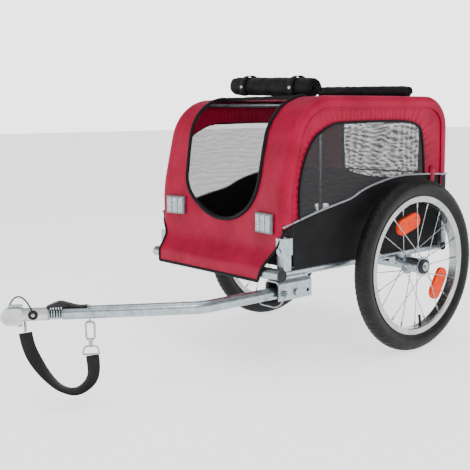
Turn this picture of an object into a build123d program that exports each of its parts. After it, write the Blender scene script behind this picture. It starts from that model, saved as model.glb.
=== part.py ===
"""Two-wheeled bicycle trailer with a folding cabin, millimetres.

+X points forward to the hitch, +Y to the left side, +Z up, and z = 0 is the ground under the tyres.
The pieces are laid out from the wheel axle, and place() moves them so that x = 0 is the middle of the length.
"""

import os
from math import atan2, cos, degrees, hypot, pi, radians, sin, tan

from build123d import *

# Wheels
WHEEL_DIAMETER = 400.0
TYRE_WIDTH = 38.0
TYRE_WALL = 3.0
TRACK = 508.0
RIM_DIAMETER = 322.0
RIM_DEPTH = 14.0
RIM_WIDTH = 26.0
RIM_WALL = 1.6
SPOKE_COUNT = 20
SPOKE_DIAMETER = 2.0
SPOKE_LACE_STEP = 2.9
NIPPLE_DIAMETER = 4.0
NIPPLE_LENGTH = 12.0
VALVE_DIAMETER = 6.5
VALVE_LENGTH = 24.0
HUB_FLANGE_DIAMETER = 46.0
HUB_FLANGE_SPACING = 44.0
HUB_FLANGE_THICKNESS = 3.0
HUB_BARREL_DIAMETER = 34.0
BEARING_DIAMETER = 28.0
BEARING_WIDTH = 8.0
AXLE_DIAMETER = 12.0
AXLE_HEAD_DIAMETER = 21.0
BUTTON_DIAMETER = 8.0
BUTTON_TRAVEL = 3.0
CAP_DIAMETER = 34.0
REFLECTOR_LENGTH = 80.0
REFLECTOR_HEIGHT = 36.0
REFLECTOR_THICKNESS = 7.4
REFLECTOR_RADIUS = 103.0
REFLECTOR_ANGLES = (16.0, 238.0)

# Chassis
RAIL_DIAMETER = 18.0
RAIL_Y = 204.0
RAIL_Z = 223.0
TUBE_WALL = 1.5
CROSS_TUBE_DIAMETER = 25.0
CROSS_TUBE_X = 393.0
CROSS_TUBE_HALF_LENGTH = 222.0
REAR_TUBE_X = -158.0
REAR_TUBE_DIAMETER = 20.0
REAR_TUBE_HALF_LENGTH = 215.0
PLUG_LIP = 2.0
AXLE_TUBE_DIAMETER = 25.0
AXLE_TUBE_HALF_LENGTH = 224.0
SOCKET_LENGTH = 55.0
SADDLE_LENGTH = 44.0
FLOOR_THICKNESS = 4.0
FLOOR_HALF_WIDTH = 202.0

# Side frames and their hinges
HOOP_DIAMETER = 16.0
HINGE_Z_LEFT = 271.0
HINGE_Z_RIGHT = 249.0
HINGE_PLATE = 2.0
HINGE_PIN_DIAMETER = 6.0
HINGE_TAIL = 6.0
HINGE_CAP_HEIGHT = 26.0
HINGE_GRIP_START = 12.5
FOLD_GAP = 0.3

# Cabin: the outer face of the cover in side view, front to back
CABIN_FRONT_X = 382.5
CABIN_REAR_X = -170.0
CABIN_TOP_Z = 588.0
KNEE_Z = 380.0
BROW_X = 332.0
KNEE_RADIUS = 300.0
BROW_RADIUS = 115.0
REAR_RADIUS = 75.0
FABRIC = 3.0
FABRIC_GAP = 0.5
MESH = 1.0
APRON_BOTTOM_Z = 206.0
FRONT_OPENING_BOTTOM_Z = 320.0
REAR_OPENING_BOTTOM_Z = 380.0
OPENING_HALF_WIDTH = 124.0
OPENING_TOP_HALF_WIDTH = 138.0
ROOF_FRONT_X = 236.0
ROOF_REAR_X = -84.0
FRONT_ROLL_RADIUS = 22.0
FRONT_ROLL_HALF_LENGTH = 136.0
REAR_ROLL_RADIUS = 16.0
REAR_ROLL_HALF_LENGTH = 150.0
ROLL_STRAP_Y = 83.0
ROLL_STRAP_WIDTH = 20.0
MARKER_WIDTH = 56.0
MARKER_HEIGHT = 40.0
MARKER_Y = 152.0
MARKER_Z = 335.0

# Drawbar, its bracket and the hitch
DRAWBAR_DIAMETER = 25.0
DRAWBAR_Y = 200.0
DRAWBAR_Z = 184.0
PIVOT_X = 350.0
LOCK_SPACING = 33.0
DRAWBAR_TAIL = 18.0
BEND_X = 580.0
BEND_ANGLE = 33.0
BEND_RADIUS = 70.0
BRACKET_WIDTH = 42.0
BRACKET_PLATE = 2.5
BRACKET_CORNER = 8.0
BRACKET_FRONT_X = 400.0
BRACKET_REAR_X = 306.0
BRACKET_BOTTOM_Z = 170.0
BOLT_DIAMETER = 8.0
LOCK_PIN_DIAMETER = 8.0
BAIL_WIRE = 3.0
SPRING_START = 262.0
SPRING_LENGTH = 28.0
SPRING_WIRE = 3.0
SPRING_DIAMETER = 24.0
SPRING_COILS = 6
HEAD_LENGTH = 86.0
HEAD_DIAMETER = 25.0
NOSE_LENGTH = 40.0
NOSE_HEIGHT = 32.0
NOSE_DROP = 1.5
NOSE_WIDTH = 24.0
POCKET_DEPTH = 46.0
POCKET_WIDTH = 12.0
POCKET_HEIGHT = 16.0
HITCH_PIN_DIAMETER = 8.0
HITCH_PIN_FROM_TIP = 33.0
TAB_LENGTH = 26.0
TAB_HEIGHT = 5.0
SPRING_COVER_WIDTH = 16.0

# Safety strap
WEBBING_WIDTH = 25.0
WEBBING_THICKNESS = 2.0
TETHER_DIAMETER = 3.0
EYE_FROM_TIP = 42.0
EYE_SHANK_DIAMETER = 5.0
EYE_RADIUS = 8.0
EYE_WIRE = 3.5
HOOK_STATION = 214.0
HOOK_TOP_Z = 167.6
HOOK_BOTTOM_Z = 121.0
HOOK_HALF_WIDTH = 8.0
HOOK_WIRE = 4.4
GATE_DIAMETER = 3.6
DRING_WIDTH = 32.0
DRING_HEIGHT = 16.0
DRING_WIRE = 3.4

RUNNING = 0.05
CLEAR = 0.3

# Sizes worked out from the ones above
wheel_radius = WHEEL_DIAMETER / 2
rim_radius = RIM_DIAMETER / 2
rim_inner_radius = rim_radius - RIM_DEPTH
rail_radius = RAIL_DIAMETER / 2
rail_top = RAIL_Z + rail_radius
hoop_radius = HOOP_DIAMETER / 2
hoop_inset = FABRIC + FABRIC_GAP + hoop_radius
front_hinge_x = CABIN_FRONT_X - hoop_inset
rear_hinge_x = CABIN_REAR_X + hoop_inset
side_inner_y = RAIL_Y + hoop_radius + CLEAR
side_outer_y = side_inner_y + FABRIC
ear_inner = hoop_radius + CLEAR
ear_outer = ear_inner + HINGE_PLATE
web_inner = hypot(hoop_radius, HINGE_TAIL) + FOLD_GAP
web_outer = web_inner + HINGE_PLATE
cap_inner = ear_outer + CLEAR
cap_outer = cap_inner + HINGE_PLATE
cap_web_inner = web_outer + FOLD_GAP
cap_web_outer = cap_web_inner + HINGE_PLATE
roof_inner_z = CABIN_TOP_Z - FABRIC
floor_z = rail_top + CLEAR
bend_set_back = BEND_RADIUS * tan(radians(BEND_ANGLE) / 2)
hitch_tip_station = SPRING_START + SPRING_LENGTH + HEAD_LENGTH
hitch_pin_station = hitch_tip_station - HITCH_PIN_FROM_TIP
strap_station = hitch_tip_station - EYE_FROM_TIP
nose_top = DRAWBAR_Z - NOSE_DROP + NOSE_HEIGHT / 2
nose_bottom = DRAWBAR_Z - NOSE_DROP - NOSE_HEIGHT / 2
hitch_tip_x = BEND_X + hitch_tip_station * cos(radians(BEND_ANGLE)) + NOSE_WIDTH / 2 * sin(radians(BEND_ANGLE))
middle_x = (hitch_tip_x - wheel_radius) / 2


def place(shape):
    """Moves each solid of a piece from the axle's frame to the part's own frame."""
    moved = [Pos(-middle_x, 0, 0) * solid for solid in shape.solids()]
    return moved[0] if len(moved) == 1 else Compound(children=moved)


def block(x0, x1, y0, y1, z0, z1):
    low_x, high_x = sorted((x0, x1))
    low_y, high_y = sorted((y0, y1))
    low_z, high_z = sorted((z0, z1))
    size = (high_x - low_x, high_y - low_y, high_z - low_z)
    return Pos((x0 + x1) / 2, (y0 + y1) / 2, (z0 + z1) / 2) * Box(*size)


def rod_x(x0, x1, y, z, radius):
    return Pos((x0 + x1) / 2, y, z) * Rot(0, 90, 0) * Cylinder(radius, abs(x1 - x0))


def rod_y(x, y0, y1, z, radius):
    return Pos(x, (y0 + y1) / 2, z) * Rot(90, 0, 0) * Cylinder(radius, abs(y1 - y0))


def rod_z(x, y, z0, z1, radius):
    return Pos(x, y, (z0 + z1) / 2) * Cylinder(radius, abs(z1 - z0))


def rod_between(start, end, radius):
    axis = Vector(*end) - Vector(*start)
    plane = Plane(origin=Vector(*start), z_dir=axis)
    return plane * Pos(0, 0, axis.length / 2) * Cylinder(radius, axis.length)


def swept_round(path, radius):
    """A round bar along a wire."""
    start = Plane(origin=path @ 0, z_dir=path % 0)
    return sweep(start * Circle(radius), path=path)


# Wheels ------------------------------------------------------------------


def both_sides(piece):
    """One group of a piece's left and right copies."""
    return Compound(children=[piece(side).solid() for side in (1, -1)])


def wheel_centre(side):
    return Pos(0, side * TRACK / 2, wheel_radius)


def wheel_ring(section):
    """Turns a section drawn as (outward along the axle, radius) about the axle."""
    profile = Plane.YZ * section
    return revolve(profile, axis=Axis.Y)


def tyre(side):
    half = TYRE_WIDTH / 2
    crown = wheel_radius - half
    bead = RIM_WIDTH / 2 - RIM_WALL - 0.1
    shoulder = rim_radius + 1.0
    seat = rim_radius - 6.0

    def outline(width, foot, low):
        wall_x, wall_r = width * cos(radians(50)), crown - width * sin(radians(50))
        arc = ThreePointArc((-wall_x, wall_r), (0, crown + width), (wall_x, wall_r))
        legs = Polyline((wall_x, wall_r), (foot, shoulder), (foot, low), (-foot, low), (-foot, shoulder),
                        (-wall_x, wall_r))
        return make_face(Wire([arc.edge(), *legs.edges()]))

    outer = outline(half, bead, seat)
    inner = outline(half - TYRE_WALL, bead - TYRE_WALL, seat - 1.0)
    return wheel_centre(side) * wheel_ring(outer - inner)


def rim(side):
    half = RIM_WIDTH / 2
    channel = Pos(0, rim_radius - RIM_DEPTH / 2) * Rectangle(RIM_WIDTH, RIM_DEPTH)
    well_depth = RIM_DEPTH - RIM_WALL
    well = Pos(0, rim_radius - well_depth / 2) * Rectangle(RIM_WIDTH - 2 * RIM_WALL, well_depth)
    ring = wheel_ring(fillet(channel.vertices().sort_by(Axis.Y)[:2], 4.0) - well)
    valve_hole = rod_z(0, 0, -rim_radius, -rim_inner_radius + 4, VALVE_DIAMETER / 2 + CLEAR)
    return wheel_centre(side) * (ring - Rot(0, valve_angle(), 0) * valve_hole)


def valve_angle():
    """Half-way between two spokes of one side's row."""
    return 360 / SPOKE_COUNT / 2


def inner_tube(side):
    radius = TYRE_WIDTH / 2 - TYRE_WALL - CLEAR
    ring = wheel_ring(Pos(0, wheel_radius - TYRE_WIDTH / 2) * Circle(radius))
    top = -(wheel_radius - TYRE_WIDTH / 2 - radius / 2)
    stem = rod_z(0, 0, top, -rim_inner_radius + VALVE_LENGTH, VALVE_DIAMETER / 2)
    return wheel_centre(side) * (ring + Rot(0, valve_angle(), 0) * stem)


def spokes(side):
    """Crossed spokes, each laid on its flange's inner face and ending in a nipple at the rim."""
    flange_radius = HUB_FLANGE_DIAMETER / 2 - 4
    step = 2 * pi / SPOKE_COUNT
    pieces = []
    for index in range(SPOKE_COUNT):
        flange = 1 if index % 2 else -1
        sweep_side = 1 if (index // 2) % 2 else -1
        rim_angle = index * step
        hub_angle = rim_angle + sweep_side * 2.5 * step
        lace = SPOKE_LACE_STEP if sweep_side > 0 else 0.0
        face = HUB_FLANGE_SPACING / 2 - HUB_FLANGE_THICKNESS / 2
        y = flange * (face - SPOKE_DIAMETER / 2 - 0.05 - lace)
        start = Vector(flange_radius * cos(hub_angle), y, flange_radius * sin(hub_angle))
        reach = rim_inner_radius - 0.6
        end = Vector(reach * cos(rim_angle), flange * 2.0, reach * sin(rim_angle))
        along = (end - start).normalized()
        nipple_start = end - along * NIPPLE_LENGTH
        wire = rod_between(start, end - along * 1.0, SPOKE_DIAMETER / 2)
        nipple = rod_between(nipple_start, end, NIPPLE_DIAMETER / 2)
        pieces.append(wheel_centre(side) * (wire + nipple))
    return Compound(children=[piece.solid() for piece in pieces])


def hub_shell(side):
    half = HUB_FLANGE_SPACING / 2 + HUB_FLANGE_THICKNESS / 2
    barrel = rod_y(0, -half, half, 0, HUB_BARREL_DIAMETER / 2)
    body = barrel
    for flange in (-1, 1):
        y = flange * HUB_FLANGE_SPACING / 2
        disc = rod_y(0, y - HUB_FLANGE_THICKNESS / 2, y + HUB_FLANGE_THICKNESS / 2, 0, HUB_FLANGE_DIAMETER / 2)
        body += disc
    body -= rod_y(0, -half, half, 0, AXLE_DIAMETER / 2 + 2)
    for flange in (-1, 1):
        body -= rod_y(0, flange * (half - BEARING_WIDTH), flange * half, 0, BEARING_DIAMETER / 2)
    return wheel_centre(side) * body


def hub_bearings(side):
    """Sealed bearings at both ends of the hub and the seal rings over them."""
    half = HUB_FLANGE_SPACING / 2 + HUB_FLANGE_THICKNESS / 2
    rings = hub_caps(side)
    for flange in (-1, 1):
        ring = rod_y(0, flange * (half - BEARING_WIDTH), flange * half, 0, BEARING_DIAMETER / 2)
        ring -= rod_y(0, -half, half, 0, AXLE_DIAMETER / 2 + RUNNING)
        rings.append((wheel_centre(side) * ring).solid())
    return Compound(children=rings)


def hub_caps(side):
    half = HUB_FLANGE_SPACING / 2 + HUB_FLANGE_THICKNESS / 2
    rings = []
    for flange in (-1, 1):
        thickness = 4.0 if flange == side else 2.0
        ring = rod_y(0, flange * half, flange * (half + thickness), 0, CAP_DIAMETER / 2)
        bore = (AXLE_HEAD_DIAMETER if flange == side else AXLE_DIAMETER) / 2 + CLEAR
        ring -= rod_y(0, flange * half, flange * (half + thickness), 0, bore)
        rings.append((wheel_centre(side) * ring).solid())
    return rings


def axle_head_start():
    """Distance of the axle head's inner face from the vehicle's middle."""
    return TRACK / 2 + HUB_FLANGE_SPACING / 2 + HUB_FLANGE_THICKNESS / 2 + CLEAR


def wheel_axle(side):
    inner = side * (AXLE_TUBE_HALF_LENGTH - SOCKET_LENGTH)
    head = side * axle_head_start()
    end = head + side * 6.0
    shaft = rod_y(0, inner, head, wheel_radius, AXLE_DIAMETER / 2)
    shaft += rod_y(0, head, end, wheel_radius, AXLE_HEAD_DIAMETER / 2)
    return shaft - rod_y(0, end, head - side * 20.0, wheel_radius, BUTTON_DIAMETER / 2 + RUNNING)


def release_button(side):
    head = side * axle_head_start()
    return rod_y(0, head - side * 12.0, head + side * (6.0 + BUTTON_TRAVEL + 1.0), wheel_radius, BUTTON_DIAMETER / 2)


def spoke_reflectors(side):
    """Two oval reflectors held between the two rows of spokes."""
    pieces = []
    for angle in REFLECTOR_ANGLES:
        plate = SlotOverall(REFLECTOR_LENGTH, REFLECTOR_HEIGHT)
        body = extrude(Plane.XZ * plate, REFLECTOR_THICKNESS / 2, both=True)
        body = Pos(0, 0, REFLECTOR_RADIUS) * body
        pieces.append((wheel_centre(side) * Rot(0, angle, 0) * body).solid())
    return Compound(children=pieces)


# Chassis -----------------------------------------------------------------


def cross_tube_cut():
    """Room for the two cross tubes and their plugs in the pieces welded to them."""
    front_half = CROSS_TUBE_HALF_LENGTH + 2 * PLUG_LIP
    rear_half = REAR_TUBE_HALF_LENGTH + 2 * PLUG_LIP
    cut = rod_y(CROSS_TUBE_X, -front_half, front_half, RAIL_Z, CROSS_TUBE_DIAMETER / 2 + RUNNING)
    return cut + rod_y(REAR_TUBE_X, -rear_half, rear_half, RAIL_Z, REAR_TUBE_DIAMETER / 2 + RUNNING)


def side_rail(side):
    rail = rod_x(REAR_TUBE_X, CROSS_TUBE_X, side * RAIL_Y, RAIL_Z, rail_radius)
    rail -= rod_x(REAR_TUBE_X, CROSS_TUBE_X, side * RAIL_Y, RAIL_Z, rail_radius - TUBE_WALL)
    return rail - cross_tube_cut()


def cross_tube(x, half, diameter):
    tube = rod_y(x, -half, half, RAIL_Z, diameter / 2)
    return tube - rod_y(x, -half, half, RAIL_Z, diameter / 2 - TUBE_WALL)


def front_cross_tube():
    return cross_tube(CROSS_TUBE_X, CROSS_TUBE_HALF_LENGTH, CROSS_TUBE_DIAMETER)


def rear_cross_tube():
    return cross_tube(REAR_TUBE_X, REAR_TUBE_HALF_LENGTH, REAR_TUBE_DIAMETER)


def tube_plugs():
    """Plastic plugs in the four open ends of the cross tubes."""
    plugs = []
    ends = (
        (CROSS_TUBE_X, CROSS_TUBE_HALF_LENGTH, CROSS_TUBE_DIAMETER / 2),
        (REAR_TUBE_X, REAR_TUBE_HALF_LENGTH, REAR_TUBE_DIAMETER / 2),
    )
    for x, half, radius in ends:
        for side in (-1, 1):
            cap = rod_y(x, side * half, side * (half + PLUG_LIP), RAIL_Z, radius)
            spigot = rod_y(x, side * (half - 14.0), side * half, RAIL_Z, radius - TUBE_WALL - RUNNING)
            plugs.append((cap + spigot).solid())
    return Compound(children=plugs)


def axle_tube_solid():
    half = AXLE_TUBE_HALF_LENGTH
    return rod_y(0, -half, half, wheel_radius, AXLE_TUBE_DIAMETER / 2)


def axle_tube():
    """The cross tube that carries the wheels, with a sleeve in each end for a wheel axle."""
    half = AXLE_TUBE_HALF_LENGTH
    tube = axle_tube_solid() - rod_y(0, -half, half, wheel_radius, AXLE_TUBE_DIAMETER / 2 - TUBE_WALL)
    sleeves = [tube.solid()]
    for side in (-1, 1):
        end = side * AXLE_TUBE_HALF_LENGTH
        inner = end - side * SOCKET_LENGTH
        sleeve = rod_y(0, inner, end, wheel_radius, AXLE_TUBE_DIAMETER / 2 - TUBE_WALL)
        sleeve -= rod_y(0, inner, end, wheel_radius, AXLE_DIAMETER / 2 + RUNNING)
        sleeves.append(sleeve.solid())
    return Compound(children=sleeves)


def axle_saddles():
    """Welded saddles between the rails and the axle tube."""
    saddles = []
    for side in (-1, 1):
        y = side * RAIL_Y
        saddle = block(
            -SADDLE_LENGTH / 2, SADDLE_LENGTH / 2, y - rail_radius, y + rail_radius, wheel_radius, RAIL_Z
        )
        saddle -= axle_tube_solid()
        saddle -= rod_x(-SADDLE_LENGTH, SADDLE_LENGTH, y, RAIL_Z, rail_radius)
        saddles.append(saddle.solids().sort_by(SortBy.VOLUME)[-1])
    return Compound(children=saddles)


def floor_panel():
    front = front_hinge_x - cap_outer - 4
    rear = rear_hinge_x + cap_outer + 4
    return block(rear, front, -FLOOR_HALF_WIDTH, FLOOR_HALF_WIDTH, floor_z, floor_z + FLOOR_THICKNESS)


# Side frames and hinges --------------------------------------------------


def hinge_z(side):
    return HINGE_Z_LEFT if side > 0 else HINGE_Z_RIGHT


def hinge_base(side, x):
    """A channel open to the inside, standing on the rail, with two round-topped ears for the pin."""
    y = side * RAIL_Y
    z = hinge_z(side)
    bottom = RAIL_Z + rail_radius * 0.7
    body = None
    for ear in (-1, 1):
        inner, outer = x + ear * ear_inner, x + ear * ear_outer
        plate = block(inner, outer, y - side * rail_radius, y + side * web_outer, bottom, z)
        plate += rod_x(inner, outer, y, z, rail_radius)
        body = plate if body is None else body + plate
    body += block(x - ear_outer, x + ear_outer, y + side * web_inner, y + side * web_outer, bottom, z)
    foot_y = (y - side * rail_radius, y + side * web_outer)
    body += block(x - ear_outer, x + ear_outer, *foot_y, bottom, rail_top + HINGE_PLATE)
    body -= rod_x(x - 40, x + 40, y, RAIL_Z, rail_radius)
    body -= cross_tube_cut()
    return body - rod_x(x - 20, x + 20, y, z, HINGE_PIN_DIAMETER / 2 + RUNNING)


def hinge_bases():
    spots = [(side, x) for side in (-1, 1) for x in (rear_hinge_x, front_hinge_x)]
    return Compound(children=[hinge_base(side, x).solid() for side, x in spots])


def hinge_pins():
    pins = []
    reach = cap_outer + 0.2
    for side in (-1, 1):
        for x in (rear_hinge_x, front_hinge_x):
            y, z = side * RAIL_Y, hinge_z(side)
            pin = rod_x(x - reach, x + reach, y, z, HINGE_PIN_DIAMETER / 2)
            pin += rod_x(x - reach - 2.0, x - reach, y, z, 5.0)
            pin += rod_x(x + reach, x + reach + 2.0, y, z, 5.0)
            pins.append(pin.solid())
    return Compound(children=pins)


def inset_corners(inset, bottom_z):
    """Corners of the cabin's side view, moved inwards by inset, from front bottom to rear bottom."""
    lean = atan2(CABIN_FRONT_X - BROW_X, CABIN_TOP_Z - KNEE_Z)
    top = CABIN_TOP_Z - inset
    front = CABIN_FRONT_X - inset
    slope = (CABIN_FRONT_X - BROW_X) / (CABIN_TOP_Z - KNEE_Z)
    knee = KNEE_Z - inset * tan(lean / 2)
    brow = front - slope * (top - knee)
    rear = CABIN_REAR_X + inset
    return [(front, bottom_z), (front, knee), (brow, top), (rear, top), (rear, bottom_z)]


def cabin_path(inset, bottom_z):
    """The cabin's side view as an open wire of lines and arcs in the plane y = 0."""
    radii = [KNEE_RADIUS - inset, BROW_RADIUS - inset, REAR_RADIUS - inset]
    corners = [(x, 0, z) for x, z in inset_corners(inset, bottom_z)]
    return FilletPolyline(*corners, radius=radii)


def cabin_face(inset, bottom_z):
    path = cabin_path(inset, bottom_z)
    corners = inset_corners(inset, bottom_z)
    closing = Line((corners[-1][0], 0, bottom_z), (corners[0][0], 0, bottom_z))
    return make_face(Wire([*path.edges(), closing.edge()]))


def extrude_y(face, y0, y1):
    """Extrudes a face drawn in the plane y = 0 from y0 to y1."""
    low, high = sorted((y0, y1))
    return Pos(0, low, 0) * extrude(face, high - low, dir=(0, 1, 0))


def side_hoop(side):
    """The bent tube of one side frame, with its pin holes."""
    y, z = side * RAIL_Y, hinge_z(side)
    path = cabin_path(hoop_inset, z - HINGE_TAIL)
    tube = swept_round(path, hoop_radius) - swept_round(path, hoop_radius - TUBE_WALL)
    tube = Pos(0, y, 0) * tube
    for x in (rear_hinge_x, front_hinge_x):
        tube -= rod_x(x - 20, x + 20, y, z, HINGE_PIN_DIAMETER / 2 + RUNNING)
    return tube


def hinge_cap(side, x):
    """The moving half of a hinge: it grips the hoop's leg and laps outside the base."""
    y, z = side * RAIL_Y, hinge_z(side)
    top = z + HINGE_CAP_HEIGHT
    web = block(
        x - cap_outer, x + cap_outer, y + side * cap_web_inner, y + side * cap_web_outer, z - rail_radius, top
    )
    body = web
    for ear in (-1, 1):
        inner, outer = x + ear * cap_inner, x + ear * cap_outer
        body += block(inner, outer, y - side * rail_radius, y + side * cap_web_outer, z, top)
        body += block(inner, outer, y, y + side * cap_web_outer, z - rail_radius, z)
        body += rod_x(inner, outer, y, z, rail_radius)
    body += block(
        x - cap_outer, x + cap_outer, y - side * rail_radius, y + side * cap_web_outer, z + HINGE_GRIP_START, top
    )
    body -= rod_z(x, y, z, top, hoop_radius)
    return body - rod_x(x - 20, x + 20, y, z, HINGE_PIN_DIAMETER / 2 + RUNNING)


def hinge_caps(side):
    return Compound(children=[hinge_cap(side, x).solid() for x in (rear_hinge_x, front_hinge_x)])


def window_face(grow=0.0):
    """The side window in side view: arched in front, its sill rising to the back in an S."""
    front, rear, top = 334.0 + grow, -77.0 - grow, 529.0 + grow
    corners = [
        (front, 0, 333.0 - grow), (front, 0, 405.0), (286.0 + grow, 0, top), (rear, 0, top),
        (rear, 0, 405.0 - grow), (66.0, 0, 405.0 - grow), (180.0, 0, 366.0 - grow),
    ]
    radii = [8.0, 120.0, 55.0, 34.0, 3.0, 90.0, 60.0]
    return make_face(FilletPolyline(*corners, radius=radii, close=True))


def side_panel(side):
    """The fabric side above the hinge line, with its window opening."""
    bottom = hinge_z(side) + 1.0
    inset = FABRIC + 0.7
    panel = extrude_y(cabin_face(inset, bottom), side * side_inner_y, side * side_outer_y)
    low_y, high_y = side * (side_inner_y - 1), side * (side_outer_y + 1)
    panel -= extrude_y(window_face(), low_y, high_y)
    for x in (rear_hinge_x, front_hinge_x):
        reach = cap_outer + CLEAR + 3
        top = hinge_z(side) + HINGE_CAP_HEIGHT + CLEAR
        panel -= block(x - reach - 10, x + reach, low_y, high_y, bottom - 1, top)
        if x > 0:
            panel -= block(x, x + 40, low_y, high_y, bottom - 1, top)
    return panel


def window_mesh(side):
    middle = side * (side_inner_y + side_outer_y) / 2
    return extrude_y(window_face(), middle - MESH / 2, middle + MESH / 2)


def side_skirt(side):
    """The fixed strip of the side fabric between the rail and the hinge line."""
    front = front_hinge_x - cap_outer - 3 - CLEAR
    rear = rear_hinge_x + cap_outer + 3 + CLEAR
    return block(
        rear, front, side * side_inner_y, side * side_outer_y, rail_top - 4, hinge_z(side) - 1.0
    )


# Cabin cover -------------------------------------------------------------


def cover_band():
    """The sheet that runs over the cabin from the front to the back."""
    low = rail_top + 2
    outer = cabin_face(0, low)
    inner = cabin_face(FABRIC, low)
    return extrude_y(outer, -side_outer_y, side_outer_y) - extrude_y(inner, -side_outer_y, side_outer_y)


def arch_cut(bottom_z, x0, x1):
    """A cutter in the shape of the end openings, rounded below and wider above."""
    low, wide, top = OPENING_HALF_WIDTH, OPENING_TOP_HALF_WIDTH, CABIN_TOP_Z + 10
    corners = [(-low, bottom_z), (low, bottom_z), (wide, top), (-wide, top)]
    outline = Polygon(*corners, align=None)
    outline = fillet(outline.vertices().sort_by(Axis.Y)[:2], 90.0)
    return Pos(min(x0, x1), 0, 0) * extrude(Plane.YZ * outline, abs(x1 - x0), dir=(1, 0, 0))


def apron():
    """The foot of the front panel, which hangs outside the cross tube."""
    step_x = CROSS_TUBE_X + CROSS_TUBE_DIAMETER / 2 + FABRIC_GAP
    inner = [
        (step_x, APRON_BOTTOM_Z), (step_x, RAIL_Z + 10), (CABIN_FRONT_X - FABRIC, RAIL_Z + 44),
        (CABIN_FRONT_X - FABRIC, RAIL_Z + 60),
    ]
    outer = [
        (CABIN_FRONT_X, RAIL_Z + 60), (CABIN_FRONT_X, RAIL_Z + 45), (step_x + FABRIC, RAIL_Z + 11),
        (step_x + FABRIC, APRON_BOTTOM_Z),
    ]
    face = make_face(Polyline(*[(x, 0, z) for x, z in inner + outer], close=True))
    return extrude_y(face, -side_outer_y, side_outer_y)


def front_edge_cut(side):
    """Clears the lower corner of the front panel, so that it tapers in beside the hinge bracket."""
    shoulder_z = HINGE_Z_LEFT + HINGE_CAP_HEIGHT + 16
    corners = [
        (side * 165, APRON_BOTTOM_Z - 1), (side * 188, HINGE_Z_LEFT + HINGE_CAP_HEIGHT + 2),
        (side * (side_outer_y + 1), shoulder_z), (side * (side_outer_y + 40), shoulder_z),
        (side * (side_outer_y + 40), APRON_BOTTOM_Z - 1),
    ]
    face = make_face(Polyline(*[(0, y, z) for y, z in corners], close=True))
    return Pos(front_hinge_x - 60, 0, 0) * extrude(face, 200, dir=(1, 0, 0))


def cover_front():
    high = CABIN_TOP_Z + 20
    panel = cover_band() & block(ROOF_FRONT_X, CABIN_FRONT_X + 50, -300, 300, RAIL_Z + 60, high)
    panel += apron()
    panel -= arch_cut(FRONT_OPENING_BOTTOM_Z, ROOF_FRONT_X - 1, CABIN_FRONT_X + 50)
    for side in (-1, 1):
        panel -= front_edge_cut(side)
    return panel


def cover_roof():
    return cover_band() & block(ROOF_REAR_X, ROOF_FRONT_X, -300, 300, RAIL_Z, CABIN_TOP_Z + 20)


def cover_rear():
    panel = cover_band() & block(CABIN_REAR_X - 10, ROOF_REAR_X, -300, 300, RAIL_Z, CABIN_TOP_Z + 20)
    panel -= arch_cut(REAR_OPENING_BOTTOM_Z, CABIN_REAR_X - 10, ROOF_REAR_X - 20)
    for side in (-1, 1):
        top = hinge_z(side) + HINGE_CAP_HEIGHT + 3
        panel -= block(CABIN_REAR_X - 10, ROOF_REAR_X, side * 186, side * 300, RAIL_Z, top)
    return panel


def rear_screen():
    """The mesh that closes the rear opening, in the middle of the cover's thickness."""
    low = rail_top + 2
    lift = (FABRIC - MESH) / 2
    outer = extrude_y(cabin_face(lift, low), -side_outer_y, side_outer_y)
    inner = extrude_y(cabin_face(lift + MESH, low), -side_outer_y, side_outer_y)
    return (outer - inner) & arch_cut(REAR_OPENING_BOTTOM_Z, CABIN_REAR_X - 10, ROOF_REAR_X - 20)


def cover_roll(x, radius, half):
    """A rolled-up cover tied down on the roof."""
    z = CABIN_TOP_Z + CLEAR + radius
    return rod_y(x, -half, half, z, radius)


def cover_rolls():
    front = cover_roll(ROOF_FRONT_X - 27, FRONT_ROLL_RADIUS, FRONT_ROLL_HALF_LENGTH)
    rear = cover_roll(ROOF_REAR_X - 16, REAR_ROLL_RADIUS, REAR_ROLL_HALF_LENGTH)
    return Compound(children=[front.solid(), rear.solid()])


def roll_straps():
    """Two loops that hold the front roll, each closed by a snap on top."""
    x = ROOF_FRONT_X - 27
    z = CABIN_TOP_Z + CLEAR + FRONT_ROLL_RADIUS
    inner, outer = FRONT_ROLL_RADIUS + CLEAR, FRONT_ROLL_RADIUS + CLEAR + 1.6
    straps = []
    for y in (-ROLL_STRAP_Y, ROLL_STRAP_Y):
        low, high = y - ROLL_STRAP_WIDTH / 2, y + ROLL_STRAP_WIDTH / 2
        loop = rod_y(x, low, high, z, outer) - rod_y(x, low, high, z, inner)
        loop -= block(x - 60, x + 60, low, high, CABIN_TOP_Z - 40, CABIN_TOP_Z + CLEAR)
        for tail in (-1, 1):
            loop += block(x + tail * 4, x + tail * (outer + 6), low, high, CABIN_TOP_Z, CABIN_TOP_Z + 1.2)
        loop -= rod_y(x, low, high, z, inner)
        loop += rod_between((x, y, z), (x + 30, y, z + 8), 7.5) - rod_y(x, low - 5, high + 5, z, outer - 0.5)
        straps += [solid for solid in loop.solids() if solid.volume > 100]
    return Compound(children=straps)


def front_markers():
    """Two reflective badges sewn to the front panel."""
    badges = []
    for side in (-1, 1):
        badge = Box(3.0, MARKER_WIDTH, MARKER_HEIGHT)
        badge = fillet(badge.edges().filter_by(Axis.X), 4.0)
        spot = Pos(CABIN_FRONT_X + 1.5 + 0.05, side * MARKER_Y, MARKER_Z)
        badges.append((spot * badge).solid())
    return Compound(children=badges)


# Drawbar and its bracket -------------------------------------------------


def station(distance, z=DRAWBAR_Z, offset=0.0):
    """A point on the drawbar's front run: distance past the bend, and offset to its left."""
    angle = radians(BEND_ANGLE)
    x = BEND_X + distance * cos(angle) + offset * sin(angle)
    y = DRAWBAR_Y - distance * sin(angle) + offset * cos(angle)
    return (x, y, z)


def drawbar_forward():
    angle = radians(BEND_ANGLE)
    return Vector(cos(angle), -sin(angle), 0)


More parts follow.
